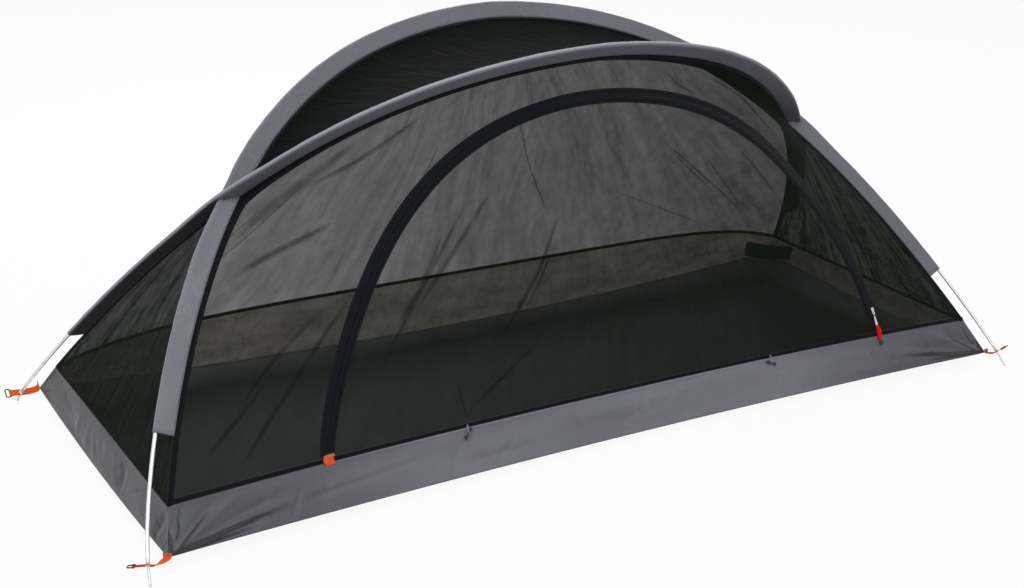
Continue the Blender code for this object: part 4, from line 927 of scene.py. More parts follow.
def mesh_net(name, cover, reach, drawn, colour, gloss):
    """Fine hexagon net: dark threads with holes between them, denser in drawn streaks and folds."""
    made = Finish(name, colour, 0.8, Specular_IOR_Level=gloss)
    across, along, _ = made.cloth().split()
    threads = (across * 5600.0).sine() * (along * 5600.0).sine()
    wander = made.grain(6.0) * 0.06
    fold = made.node("ShaderNodeVectorMath", {"operation": "ADD"}, [made.cloth(EVEN, "pull"), wander])

    def run(a, b, detail):
        return made.noise(made.scaled(fold, (a, b, 1.0)), 1.0, detail)

    broad, middle, fine = run(11.0, 1.1, 1.0), run(27.0, 2.2, 2.0), run(60.0, 4.5, 2.0)
    sharp = (middle - 0.5).size().step(0.045, 0.0) * broad.step(0.46, 0.6)
    soft = made.grain(5.5, 3.0)
    crushed = (run(42.0, 15.0, 3.0) - 0.5) * 1.1 + (made.grain(34.0, 3.0, (1.0, 1.0, 1.6), (0.3, 0.5, 0.8)) - 0.5) * 0.9
    streak = (broad - 0.5) * 0.7 + (middle - 0.5) * 0.8 + (fine - 0.5) * 0.5 + sharp * 0.26 + crushed * 0.8
    alpha = (threads * 0.02 + (soft - 0.5) * 0.1 + streak * drawn) * ((1.0 - cover) * 3.2)
    alpha = alpha + cover + made.place().split()[0] * reach
    made.feed("Alpha", alpha.math("MINIMUM", 0.999).either(0.3))
    # Sharp folds are denser in Alpha, as doubled net is, and lighter in colour: a painted sheen where the folded net
    # catches light
    made.feed("Base Color", sharp.tones(colour, 1.0, 1.5 + drawn))
    made.bump(streak * drawn + soft * 0.2, 0.012, 0.6)
    return made


def net_panel(name, rows, pull, cover, body="tent", reach=0.0, drawn=0.12, colour=NET_BLACK, gloss=0.05):
    """One panel of net. pull gives each point's metres across and along the lines of pull."""
    finish = mesh_net(f"{name}_mesh", cover, reach, drawn, colour, gloss)
    made = grid(f"{name}_mesh", rows, *flat_lengths(rows), finish, pull=pull)
    dressed(made, body, "black_net", name)


def fan(rows, apex=PULL_APEX, column=0):
    """Lines of pull that run down and out from one high point, seen along one axis."""
    rows = np.asarray(rows, float)
    side, drop = rows[..., column], np.maximum(apex - rows[..., 2], 0.02)
    return np.arctan2(side, drop), np.hypot(side, drop)


def pleats(name, face, lines, body="tent"):
    """Sharp folds in a panel: a narrow strip of doubled net along each line of three places.

    A line has its three places as x and z in mm, and its width in mm.
    """
    points, faces, marks = [], [], []
    t = np.linspace(0.0, 1.0, 22)
    kernel = np.ones(5) / 5
    for line in mm(*lines):
        spots = np.stack([np.interp(t, (0.0, 0.5, 1.0), line[k:6:2]) for k in (0, 1)], -1)
        inner = np.stack([np.convolve(spots[:, k], kernel, "valid") for k in (0, 1)], -1)
        spots = np.concatenate([spots[:2], inner, spots[-2:]])
        way = unit(np.gradient(spots, axis=0))
        beside = np.stack([-way[:, 1], way[:, 0]], -1)
        half = line[6] / 2 * np.sin(np.linspace(0.05, 0.98, len(t)) * math.pi) ** 0.5
        base = len(points)
        for k, spot in enumerate(spots):
            for share in (-1.0, -0.4, 0.4, 1.0):
                points.append(face.off(*(spot + beside[k] * half[k] * share), PLEAT_LIFT).tolist())
                marks.append((share, t[k]))
        corners = [base + k * 4 + j for k in range(len(spots) - 1) for j in range(3)]
        faces += [(a, a + 1, a + 5, a + 4) for a in corners]
    finish = Finish(f"{name}_net", NET_BLACK, 0.8, Specular_IOR_Level=0.06)
    across, along, _ = finish.cloth().split()
    soft = across.size().step(1.0, 0.15) * along.step(0.0, 0.2) * along.step(1.0, 0.75)
    finish.feed("Alpha", soft * (finish.grain(12.0) * 0.7 + 0.12))
    dressed(skin(name, points, faces, finish, cloth=[marks[k] for face in faces for k in face]), body, "black_net")


# The line of the zip on the front net, a broad arch on the front wall's top
DOOR_CENTRE = -0.018
DOOR_LEFT_WIDTH, DOOR_RIGHT_WIDTH = 0.745, 0.831
DOOR_HEIGHT = 0.686
DOOR_LEFT_ROUND, DOOR_RIGHT_ROUND = 1.36, 1.91
ZIP_TAPE = 0.017
BINDING_HEIGHT = 0.01


def binding_top(x):
    return long_top(FRONT, np.asarray(x, float) / TOP_CORNER[0])[..., 2] + BINDING_HEIGHT


DOOR_SILL = float(binding_top([DOOR_CENTRE - DOOR_LEFT_WIDTH, DOOR_CENTRE + DOOR_RIGHT_WIDTH]).max()) + 0.00055


def arch_line(turn):
    """The door's arch as x and z. turn runs from 0 at the right foot to pi at the left."""
    level = np.cos(turn)
    width = np.where(level > 0, DOOR_RIGHT_WIDTH, DOOR_LEFT_WIDTH)
    power = 2.0 / (DOOR_RIGHT_ROUND - (DOOR_RIGHT_ROUND - DOOR_LEFT_ROUND) * np.minimum(level, 0.0) ** 2)
    across = np.sign(level) * np.abs(level) ** power
    height = DOOR_HEIGHT * np.clip(np.sin(turn), 0.0, None) ** power
    return np.stack([DOOR_CENTRE + width * across, DOOR_SILL + height], -1)


ARCH_TURNS = np.linspace(0.0, math.pi, 1201)
ARCH = arch_line(ARCH_TURNS)
ARCH_WAY = unit(np.gradient(ARCH, axis=0))
ARCH_OUT = np.stack([ARCH_WAY[:, 1], -ARCH_WAY[:, 0]], -1)
ARCH_OUT[0], ARCH_OUT[-1] = (1.0, 0.0), (-1.0, 0.0)


def door_arch(turn, grown):
    """A line beside the door's arch, at a distance outside it."""
    line = [np.interp(turn, ARCH_TURNS, ARCH[:, k] + ARCH_OUT[:, k] * grown) for k in (0, 1)]
    return line[0], np.maximum(line[1], DOOR_SILL)


def turn_towards(x, z):
    width = np.where(x > DOOR_CENTRE, DOOR_RIGHT_WIDTH, DOOR_LEFT_WIDTH)
    across, up = (x - DOOR_CENTRE) / width, np.clip(z - DOOR_SILL, 0.0, None) / DOOR_HEIGHT
    power = np.where(across > 0, DOOR_RIGHT_ROUND, DOOR_LEFT_ROUND) / 2.0
    return np.arctan2(up**power, np.sign(across) * np.abs(across) ** power)


front_face, rear_face = FACES[FRONT], FACES[REAR]
outline = upper_edge(FRONT, 60, 170)[::-1][:, [0, 2]]
inner = np.stack(door_arch(turn_towards(*outline.T), ZIP_TAPE), -1)
rows = []
for share in np.linspace(0.004, 1.0, 21):
    px, pz = (outline + (inner - outline) * share).T
    rows.append(front_face.point(px, np.maximum(pz, binding_top(px))))
net_panel("front_net", rows, fan(rows), LONG_COVER, reach=LONG_REACH)
pleats("front_net_pleats", front_face, (
    (-620, 455, -808, 277, -982, 125, 13.1), (-544, 763, -692, 645, -844, 525, 22.9),
    (-626, 590, -744, 535, -866, 474, 16.8), (-849, 297, -935, 234, -1023, 176, 12.2),
    (-409, 815, -563, 711, -685, 645, 13.8), (-700, 420, -830, 330, -930, 250, 10.7),
    (180, 865, 231, 820, 290, 790, 10.7), (326, 831, 460, 763, 640, 605, 12.2), (700, 446, 896, 291, 1068, 148, 13.8),
    (850, 265, 976, 200, 1100, 141, 12.2), (790, 373, 944, 229, 1048, 140, 9.2),
    (880, 330, 980, 240, 1080, 150, 10.7)))

door_x, door_top = door_arch(np.linspace(0.0, math.pi, 181), -ZIP_TAPE)
door_low = np.minimum(np.maximum(binding_top(door_x), DOOR_SILL), door_top)
rows = [front_face.point(door_x, door_low + (door_top - door_low) * share) for share in np.linspace(0.0, 1.0, 61)]
net_panel("door_net", rows, fan(rows), LONG_COVER + 0.02, "door", LONG_REACH)
pleats("door_net_pleats", front_face, (
    (-355, 607, -472, 446, -607, 284, 15.3), (-280, 645, -400, 503, -519, 377, 19.9),
    (-204, 423, -256, 362, -310, 303, 12.2), (-208, 286, -309, 224, -408, 163, 12.2),
    (-430, 225, -425, 181, -416, 140, 7.6), (-123, 572, -189, 443, -295, 323, 15.3),
    (-408, 558, -485, 437, -557, 361, 16.8), (-238, 360, -191, 421, -153, 484, 10.7)), "door")

outline = upper_edge(REAR, 60, 170)
rear_low = long_top(REAR, outline[:, 0] / TOP_CORNER[0])[:, 2]
rear_high = np.interp(outline[:, 0], rear_face.x, rear_face.top)
rows = [rear_face.point(outline[:, 0], rear_low + (rear_high - rear_low) * share)
        for share in np.linspace(0.0, 0.996, 51)]
net_panel("rear_net", rows, fan(rows), LONG_COVER, reach=LONG_REACH, drawn=0.2)
pleats("rear_net_pleats", rear_face, (
    (524, 547, 750, 375, 978, 202, 9.2), (754, 509, 871, 407, 1013, 287, 8.3), (435, 378, 626, 293, 822, 202, 7.6),
    (671, 491, 809, 357, 946, 226, 7.6), (584, 495, 671, 422, 796, 320, 6.8), (-500, 560, -690, 400, -900, 240, 9.2),
    (-640, 500, -780, 380, -960, 250, 7.6), (100, 640, 160, 480, 260, 300, 9.2),
    (-120, 600, -180, 460, -300, 280, 9.2)))

edge = aft.seam(np.linspace(-aft.wall_top, -aft.seams_cross - CROSSING_ROOM, 61))
end_y = -edge[:, 1:2] * np.linspace(-1.0, 1.0, NET_COLUMNS)
end_z = np.repeat(edge[:, 2:3], NET_COLUMNS, axis=1)
end_x = np.repeat(edge[:, :1], NET_COLUMNS, axis=1)
end_x[0] = -TOP_CORNER[0]
end_x = relax(end_x, np.gradient(end_y, axis=1), np.gradient(end_z, axis=0))
END_NETS = {end: np.stack([end_x * -end, end_y, end_z], -1) for end in END_NAMES}
for end, rows in END_NETS.items():
    net_panel(f"{END_NAMES[end]}_net", rows, fan(rows, END_APEX, 1), END_COVER,
              reach=0.012, drawn=0.85)

roof_end = aft.seams_cross - CROSSING_ROOM
edge = aft.seam(np.linspace(-roof_end, roof_end, 141))
shares = np.linspace(-1.0, 1.0, ROOF_COLUMNS)
roof_y = edge[:, 1:2] * shares
roof_z = np.repeat(edge[:, 2:3], ROOF_COLUMNS, axis=1)
roof_z = relax(roof_z, np.gradient(roof_y, axis=1), np.gradient(edge[:, 0])[:, None])
roof_z = roof_z - ROOF_SAG * (edge[:, 1:2] / edge[:, 1].max()) ** 2 * (1.0 - shares**2)
roof = np.stack([np.repeat(edge[:, :1], ROOF_COLUMNS, axis=1), roof_y, roof_z], -1)
slanted = (roof[..., 0] + ROOF_SLANT * roof_y, roof_y)
net_panel("roof_net", roof, slanted, ROOF_COVER, drawn=0.5, colour=ROOF_BLACK, gloss=0.02)

# Seam binding: a folded black tape sewn over the edges where net meets net and sleeve. Each net
# panel shows one flat leaf of it, about a finger wide.

BINDING_LEAF = 0.0095
BINDING_LIFT = 0.0009
BINDING_BLACK = (0.0046, 0.0052, 0.0068)
HIDDEN_SHARE = 0.16


def webbing(name, colour, rows=(), pitch=0.0016, rib=0.0, roughness=0.78):
    """Narrow woven tape: fine twill ribs, a soft fleck and rows of stitches."""
    made = Finish(name, colour, roughness, Sheen_Weight=0.03, Specular_IOR_Level=0.08)
    along, across, _ = made.cloth().split()
    twill = ((along + across) * (2 * math.pi / pitch)).sine() * 0.5 + 0.5
    ribs = (across * (2 * math.pi / (pitch * 1.3))).sine() * 0.5 + 0.5
    weave = twill * (1.0 - rib) + ribs * rib
    fleck = made.grain(260.0, 3.0)
    tone = (weave * 0.35 + fleck * 0.5).tones(colour, 0.7, 1.25, 0.001)
    height = weave * 0.5 + fleck * 0.2
    for row in rows:
        sewn = stitches(along, across, row, 0.0028)
        tone = sewn.mixed(tone, toned(colour, 1.6, 0.006))
        height = height + sewn * 0.6
    made.feed("Base Color", tone)
    made.feed("Roughness", fleck * 0.16 + roughness - 0.08)
    made.bump(height, 0.0003, 0.7)
    return made


def leaf(name, edge_points, inner_points, outward):
    """A flat leaf of tape between an edge line and an inner line, lifted off the panel."""
    edge_points, outward = np.asarray(edge_points), np.broadcast_to(outward, np.shape(edge_points))
    shares = np.array([0.0, 0.5, 1.0])[:, None]
    lift = np.array([0.55, 1.0, 0.35])[:, None, None] * BINDING_LIFT * outward
    rows = edge_points + (inner_points - edge_points) * shares[..., None] + lift
    along = np.repeat(run_lengths(edge_points)[None], 3, axis=0)
    across = np.repeat(shares * BINDING_LEAF, len(edge_points), axis=1)
    dressed(thickened(grid(name, rows, along, across, binding_finish), 0.0006), "tent", "black_tape")


binding_finish = webbing("seam_binding_tape", BINDING_BLACK, (BINDING_LEAF * 0.72,))
for side, face in FACES.items():
    points = upper_edge(side, 60, 150)
    flat = points[:, [0, 2]]
    way = unit(np.gradient(flat, axis=0))
    inner = flat + np.stack([way[:, 1], -way[:, 0]], -1) * BINDING_LEAF * 0.92
    inner[:, 1] = np.maximum(inner[:, 1], long_top(side, np.clip(inner[:, 0] / TOP_CORNER[0], -1, 1))[:, 2])
    inner_points, outward = face.point(*inner.T), face.outward(*inner.T)
    name = f"{SIDE_NAMES[side]}_seam_tape"
    leaf(name, points + (points - inner_points) * HIDDEN_SHARE, inner_points, outward)
    leaf(f"{name}_inside", points, inner_points, -outward)

for end, net in END_NETS.items():
    for side in SIDE_NAMES:
        rows = net if side == FRONT else net[:, ::-1]
        inner_points = []
        for row in rows:
            reach = run_lengths(row)
            inner_points.append([np.interp(min(BINDING_LEAF, reach[-1] / 2), reach, row[:, k]) for k in range(3)])
        near = rows[:, 0]
        outward = unit(np.cross(unit(inner_points - near), unit(np.gradient(near, axis=0))))
        leaf(f"{END_NAMES[end]}_seam_tape_{SIDE_NAMES[side]}", near, np.array(inner_points),
             outward * np.sign(outward[:, :1] * end))

for side, rows in ((FRONT, roof), (REAR, roof[:, ::-1])):
    line, inner_line = rows[:, 0], rows[:, 3]
    width = np.linalg.norm(inner_line - line, axis=1)[:, None]
    inner_points = line + (inner_line - line) * np.minimum(BINDING_LEAF / np.maximum(width, 0.001), 3.0)
    leaf(f"roof_seam_tape_{SIDE_NAMES[side]}", line, inner_points, (0.0, 0.0, 1.0))

# Wall binding: black tape sewn over the walls' top edges. The front one is taller, because the
# zip's ends, the end tab and the toggles' loops are sewn under it.

WALL_TAPE_ABOVE, WALL_TAPE_BELOW = 0.003, 0.006
# Share of its height and lift of each row of the front binding
BINDING_SECTION = ((0.0, 0.0005), (0.12, 0.0009), (0.5, 0.001), (0.88, 0.0009), (1.0, 0.0004))
x_line = np.linspace(-0.9988, 0.9988, 241) * TOP_CORNER[0]
low_z = long_top(FRONT, x_line / TOP_CORNER[0])[:, 2] + EDGE
rows = [front_face.off(x_line, low_z + (BINDING_HEIGHT - 2 * EDGE) * share, lift)
        for share, lift in BINDING_SECTION]
binding = grid("front_binding_tape", rows, *flat_lengths(rows),
               webbing("front_binding_weave", BINDING_BLACK, (0.0022, 0.007)))
dressed(thickened(binding, 0.001, offset=-1.0), "tent", "black_tape", "front_binding")

steps = np.linspace(-0.9975, 0.9975, 181)
for name, line, out in (("rear", long_top(REAR, steps), (0.0, 1.3, 0.0)),
                        ("left", end_top(LEFT, steps), (-1.3, 0.0, 0.0)),
                        ("right", end_top(RIGHT, steps), (1.3, 0.0, 0.0))):
    for leaf_name, way in ((f"{name}_wall_tape", 1.0), (f"{name}_wall_tape_inside", -1.0)):
        leaf(leaf_name, line + (0.0, 0.0, WALL_TAPE_ABOVE), line - (0.0, 0.0, WALL_TAPE_BELOW), np.array(out) * way)

# Zip: two black woven tapes round the door's arch, one on the front net and one on the door, each
# with half of a nylon coil along its edge.

ZIP_BLACK = (0.0042, 0.005, 0.0072)
ZIP_COIL_BLACK = (0.005, 0.0056, 0.008)
ZIP_THREAD = (0.016, 0.017, 0.02)
DOOR_NOTCH = 0.006
COIL_EDGE = 0.0046, 0.004
ZIP_STITCHES = 0.006, 0.0148
# Reach and height of half the zip across its tape, with a rounded coil, a sewn edge, then flat tape
ZIP_UPPER = mm((0.05, 0.72), (0.65, 1.14), (2.2, 1.2), (3.4, 1.14), (4.2, 0.66), (5.2, 0.5), (7.5, 0.5), (7.8, 0.8),
               (8.6, 0.8), (8.9, 0.5), (15.5, 0.5), (17.0, 0.3))
ZIP_SECTION = np.concatenate([ZIP_UPPER, ZIP_UPPER[::-1] * (1.0, -1.0)])


def zip_finish(name):
    """Woven tape with a row of coil turns and two rows of stitches."""
    made = webbing(name, ZIP_BLACK, (), 0.0014)
    along, across, _ = made.cloth().split()
    coil = across.step(*COIL_EDGE)
    turns = (along * (2 * math.pi / 0.0015)).sine() * 0.5 + 0.5
    rows = [stitches(along, across, row, 0.003) for row in ZIP_STITCHES]
    sewn = rows[0] + rows[1]
    weave = made.noise(made.cloth(), 900.0)
    tone = coil.mixed((weave * 0.4).mixed(ZIP_BLACK, (0.008, 0.009, 0.012)), ZIP_COIL_BLACK)
    made.feed("Base Color", sewn.mixed(tone, ZIP_THREAD))
    made.feed("Roughness", coil * -0.22 + weave * 0.12 + 0.66)
    made.bump(coil * turns + sewn * 0.3 + weave * 0.15, 0.0005, 0.9)
    return made


for name, outward, body in (("zip_frame_tape", 1.0, "tent"), ("zip_door_tape", -1.0, "door")):
    turns = np.linspace(0.0, math.pi, 361)
    rows = np.stack([front_face.off(*door_arch(turns, across * outward), up) for across, up in ZIP_SECTION], 1)
    lengths = run_lengths(rows[:, 0])
    if body == "door":
        kept = ~((rows[:, 0, 0] < 0) & (rows[:, 0, 2] < DOOR_SILL + DOOR_NOTCH))
        rows, lengths = rows[kept], lengths[kept]
    around = [*ZIP_SECTION[:, 0], ZIP_SECTION[0, 0]]
    made = grid(f"{name}_coil", rows, lengths, around, zip_finish(f"{name}_weave"), True)
    dressed(capped(made), body, "black_tape", name)

# Corner pocket: a small pocket of black cloth across the rear-right corner, open at its top.

POCKET_LOW, POCKET_HIGH = 0.05, 0.107
u, v = 1.0 - FLOOR_RAMP / FLOOR_CORNER[0], 1.0 - FLOOR_RAMP / FLOOR_CORNER[1]
pocket_ends = ((floor_edge(u, 1.0), long_top(REAR, np.array(u)), (0.0, -0.0012, 0.0)),
               (floor_edge(1.0, v), end_top(RIGHT, v), (-0.0012, 0.0, 0.0)))
t = np.linspace(0.0, 1.0, 31)[:, None]
rows = []
for share in np.linspace(0.0, 1.0, 15):
    height = POCKET_LOW + (POCKET_HIGH - POCKET_LOW) * share
    low_end, high_end = [low + (high - low) * (height - low[2]) / (high[2] - low[2]) + clear
                         for low, high, clear in pocket_ends]
    slack = 0.008 * np.sin(t * math.pi) * (1.0 + 0.2 * np.sin(t * 19.0)) + 0.0024 * math.sin(share * math.pi)
    rows.append(low_end * (1 - t) + high_end * t - np.array([1.0, 1.0, 0.0]) * slack)
pocket = grid("corner_pocket_cloth", rows, *flat_lengths(rows),
              webbing("pocket_weave", (0.014, 0.014, 0.016), (0.053, 0.004)))
dressed(thickened(pocket, 0.0008), "tent", "black_tape", "corner_pocket")

# Zip slider: a cast body on the frame's tape with a bail at its lower end. Its stamped puller
# hangs in the bail and carries a red tape, sewn into a moulded grip at the end.

SLIDER_PLACE = np.array((0.80943, -0.37299, 0.18552))
SLIDER_UP = np.array((-0.06823, 0.45188, 0.88947))
SLIDER_ACROSS = np.array((0.99736, 0.05296, 0.0496))
SLIDER_OUT = np.array((0.02469, -0.8905, 0.4543))
SLIDER_MIDDLE = 0.005
PULL_PIVOT = np.array((0.81524, -0.3806, 0.17769))
PULL_DOWN = unit(np.array((0.06833, -0.45557, -0.88757)))
PULLER_LENGTH = 0.032
PULL_TAPE_LENGTH = 0.04
PULL_RED = (0.8, 0.007, 0.012)


def round_section(radius, sides=14, flat=1.0):
    turns = np.linspace(0.0, 2 * math.pi, sides, endpoint=False)
    return np.stack([np.cos(turns) * radius, np.sin(turns) * radius * flat], -1)


def soft_box(width, depth, round_by):
    """The outline of a bar with rounded edges, from lengths in mm."""
    width, depth, round_by = width / 1000, depth / 1000, round_by / 1000
    corners = []
    for a, b, start in ((1, 1, 0), (-1, 1, 90), (-1, -1, 180), (1, -1, 270)):
        for turn in np.radians(start + np.array([0.0, 30.0, 60.0, 90.0])):
            corners.append((a * (width / 2 - round_by) + round_by * math.cos(turn),
                            b * (depth / 2 - round_by) + round_by * math.sin(turn)))
    return np.array(corners)


def swept(name, path, side, section, finish, scale=((1.0, 1.0),), loop=False):
    """A section carried along a path. side is the way its first axis points."""
    path = np.asarray(path, float)
    way = unit(np.roll(path, -1, 0) - np.roll(path, 1, 0) if loop else np.gradient(path, axis=0))
    side = np.broadcast_to(np.asarray(side, float), path.shape)
    side = unit(side - way * np.sum(side * way, axis=-1, keepdims=True))
    spread = np.broadcast_to(scale, (len(path), 2))[:, None] * section
    rows = path[:, None] + spread[..., :1] * side[:, None] + spread[..., 1:] * np.cross(way, side)[:, None]
    along = run_lengths(path)
    along = [*along, 2 * along[-1] - along[-2]]
    made = grid(name, rows, along, run_lengths([*section, section[0]]), finish, True, loop)
    return made if loop else capped(made)


def smooth_path(points, count):
    """A curve through a few points, evenly spaced along its length."""
    points = np.asarray(points, float)
    ends = [2 * points[0] - points[1], *points, 2 * points[-1] - points[-2]]
    fine = []
    for a, b, c, d in zip(ends, ends[1:], ends[2:], ends[3:]):
        for t in np.linspace(0.0, 1.0, 24, endpoint=False):
            fine.append(0.5 * (2 * b + (c - a) * t + (2 * a - 5 * b + 4 * c - d) * t**2
                               + (3 * b - a - 3 * c + d) * t**3))
    fine = np.array([*fine, points[-1]])
    lengths = run_lengths(fine)
    even = np.linspace(0.0, lengths[-1], count)
    return np.stack([np.interp(even, lengths, fine[:, k]) for k in range(3)], -1)


def cast_metal(name, colour, roughness):
    """Die-cast and plated metal: small pits and rubbed, slightly darker patches."""
    made = Finish(name, colour, roughness, Metallic=0.9)
    rubbed = made.grain(420.0, 3.0).step(0.45, 0.65)
    pits = made.grain(1500.0).step(0.62, 0.72)
    made.feed("Base Color", (rubbed * 0.5 + pits * 0.3).tones(colour, 1.0, 0.62))
    made.feed("Roughness", rubbed * 0.16 + pits * 0.2 + roughness)
    made.bump(rubbed * 0.2 - pits * 0.8, 0.00008, 0.6)
    return made


def moulded(name, colour, roughness=0.42):
    """Moulded plastic: a fine spark texture and faint flow marks."""
    made = Finish(name, colour, roughness, Specular_IOR_Level=0.4)
    spark = made.grain(2200.0)
    flow = made.grain(90.0, 3.0, (1.0, 1.0, 3.0))
    made.feed("Base Color", (flow * 0.6 + spark * 0.2).tones(colour, 1.0, 1.8, 0.004))
    made.feed("Roughness", spark * 0.14 + roughness - 0.05)
    made.bump(spark + flow * 0.4, 0.00006, 0.7)
    return made


slider_metal = cast_metal("slider_plating", (0.72, 0.72, 0.72), 0.24)
PULL_ACROSS = unit(SLIDER_ACROSS - PULL_DOWN * (SLIDER_ACROSS @ PULL_DOWN))
PULL_AWAY = np.cross(PULL_DOWN, PULL_ACROSS)
PULL_AWAY = -PULL_AWAY if PULL_AWAY[1] > 0 else PULL_AWAY


def on_slider(*spots):
    """Points from rows of mm up the slider, across it from its middle, and out from the tape."""
    return SLIDER_PLACE + (mm(*spots) + (0.0, SLIDER_MIDDLE, 0.0)) @ np.stack([SLIDER_UP, SLIDER_ACROSS, SLIDER_OUT])


def on_pull(spots):
    """Points from rows of metres down the pull, across it, and away from the tape."""
    return PULL_PIVOT + np.asarray(spots) @ np.stack([PULL_DOWN, PULL_ACROSS, PULL_AWAY])


def down_pull(downs, away=0.0):
    return on_pull([(down, 0.0, away) for down in downs])


SLIDER_STATIONS = ((-6.2, 0.66, 0.5), (-6.0, 0.74, 0.86), (-5.4, 0.8, 1.0), (-2.0, 0.8, 1.0), (1.2, 0.88, 1.0),
                   (3.4, 1.0, 1.0), (5.2, 1.0, 0.96), (5.8, 0.95, 0.84), (6.1, 0.86, 0.5))
PLATE_STATIONS = ((3.8, 0.62, 0.8), (5.6, 0.66, 1.0), (8.5, 0.8, 1.0), (15.0, 1.02, 1.0), (22.0, 1.3, 1.0),
                  (29.0, 1.62, 1.0), (31.2, 1.6, 0.9), (31.9, 1.36, 0.6))
GRIP_STATIONS = ((0.0, 0.66, 0.5), (0.4, 0.82, 0.9), (1.6, 0.92, 1.0), (5.0, 0.86, 0.92), (8.5, 1.0, 1.0),
                 (10.8, 0.98, 1.0), (11.8, 0.84, 0.8), (12.1, 0.6, 0.45))
body = swept("slider_body", on_slider(*[(up, 0.0, 2.2) for up, _, _ in SLIDER_STATIONS]), SLIDER_ACROSS,
             soft_box(8.8, 3.2, 0.9), slider_metal, [scale for _, *scale in SLIDER_STATIONS])
dressed(sharpened(body), "slider", "silver_alloy", "zip_slider")
bridge = smooth_path(on_slider((4.6, 0, 3.6), (3.0, 0, 4.8), (-0.4, 0, 5.1), (-4.0, 0, 4.6), (-5.2, 0, 3.4)), 24)
dressed(swept("slider_bridge", bridge, SLIDER_ACROSS, soft_box(2.4, 0.9, 0.3), slider_metal), "slider", "silver_alloy")
bail = smooth_path(on_slider((-5.0, -3.0, 2.6), (-8.6, -3.3, 3.4), (-10.6, -2.6, 3.4), (-10.8, 0, 3.4),
                             (-10.6, 2.6, 3.4), (-8.6, 3.3, 3.4), (-5.0, 3.0, 2.6)), 40)
dressed(swept("slider_bail", bail, SLIDER_OUT, round_section(0.0008), slider_metal), "slider", "silver_alloy")

turns = np.radians(np.linspace(28.0, 332.0, 34))
eye = [(0.0023 * math.cos(t), 0.0, 0.0023 * math.sin(t)) for t in turns]
eye = on_pull([(0.0058, 0.0, 0.0003), *eye, (0.0058, 0.0, -0.0003)])
dressed(swept("puller_eye", eye, PULL_ACROSS, soft_box(4.0, 1.0, 0.3), slider_metal), "pull", "silver_alloy")
plate = swept("puller_plate", down_pull([down / 1000 for down, _, _ in PLATE_STATIONS]), PULL_ACROSS,
              soft_box(4.8, 1.4, 0.5), slider_metal, [scale for _, *scale in PLATE_STATIONS])
dressed(sharpened(plate), "pull", "silver_alloy", "zip_puller")
rib = down_pull(np.linspace(0.009, 0.027, 8), 0.0008)
dressed(swept("puller_rib", rib, PULL_ACROSS, soft_box(1.4, 0.7, 0.3), slider_metal), "pull", "silver_alloy")

red_weave = webbing("pull_tape_weave", PULL_RED, (0.0016, 0.0066), 0.0013, 0.4, 0.6)
tape_start, tape_end = PULLER_LENGTH - 0.0012, PULLER_LENGTH + PULL_TAPE_LENGTH + 0.003
shares = np.linspace(0.0, 1.0, 44)
downs = tape_start + (tape_end - tape_start) * shares
path = on_pull(np.stack([downs, 0.0008 * np.sin(shares * 5.6), 0.0011 * np.sin(shares * math.pi * 1.6)], -1))
turn = (0.28 * np.sin(shares * 4.4))[:, None]
widths = 0.62 + 0.38 * np.clip(np.minimum(shares / 0.1, (1.0 - shares) / 0.08), 0.0, 1.0)
widths = widths * (1.0 + 0.45 * np.sin(shares * math.pi))
tape = swept("pull_tape_loop", path, PULL_ACROSS * np.cos(turn) + PULL_AWAY * np.sin(turn), soft_box(9.2, 1.9, 0.8),
             red_weave, np.stack([widths, widths**0.3], -1))
dressed(tape, "pull", "red_tape", "pull_tape")
grip_start = PULLER_LENGTH + PULL_TAPE_LENGTH + 0.0005
grip_finish = moulded("pull_grip_plastic", (0.012, 0.012, 0.013))
grip = swept("pull_grip", down_pull([grip_start + down / 1000 for down, _, _ in GRIP_STATIONS]), PULL_ACROSS,
             soft_box(11.2, 3.4, 1.4), grip_finish, [scale for _, *scale in GRIP_STATIONS])
dressed(grip, "pull", "black_plastic", "pull_end")

# Zip end tab: a short piece of orange tape folded over the zip's lower end at the door's left
# foot and sewn down, so that the slider can't run off.

ORANGE = (0.97, 0.135, 0.032)
END_TAB_PLACE = DOOR_CENTRE - DOOR_LEFT_WIDTH
orange_weave = webbing("end_tab_weave", ORANGE, (0.003, 0.0205), 0.0014, 0.5, 0.62)


def tab_piece(name, rows, *nodes):
    cloth = faced(grid(name, rows, *flat_lengths(rows), orange_weave), (0.0, -1.0, 0.0))
    dressed(thickened(cloth, 0.0008), "tent", "orange_webbing", *nodes)


rows = []
spread = np.linspace(-0.0105, 0.0125, 21)
for height in np.linspace(-0.0175, 0.0048, 19):
    x = END_TAB_PLACE + spread * (1.0 + 4.0 * (height + 0.0175)) + 0.0015 * math.sin(height * 300.0)
    z, low = DOOR_SILL + height + spread * 0.1, binding_top(x) - BINDING_HEIGHT
    lift = 0.0022 + 0.0009 * np.sin(spread * 330.0 + height * 90.0) + 0.0006 * np.cos(height * 420.0 + spread * 160.0)
    rows.append(front_face.off(x, np.maximum(z, low), lift) + np.minimum(z - low, 0.0)[:, None] * (0.0, 0.0, 1.0))
tab_piece("end_tab_cloth", rows, "zip_end_tab")
spread = np.linspace(0.0035, 0.015, 10)
tab_piece("end_tab_fold", [front_face.off(END_TAB_PLACE + spread, DOOR_SILL + height - 0.0035 + spread * 0.16,
                                          0.0034 + 0.001 * np.sin(spread * 420.0))
                           for height in np.linspace(0.001, 0.0062, 8)])

# Toggles: a turned black bar in a grey elastic loop sewn under the front binding. Two of them
# hold the rolled-down door.

TOGGLE_DROP = 0.006
TOGGLE_LOOP_LENGTH = 0.017
TOGGLE_LOOP_RADIUS = 0.003
TOGGLE_STAND_OFF = 0.0019
TOGGLE_HALF_LENGTH = 0.015
TOGGLE_RADIUS = 0.0054
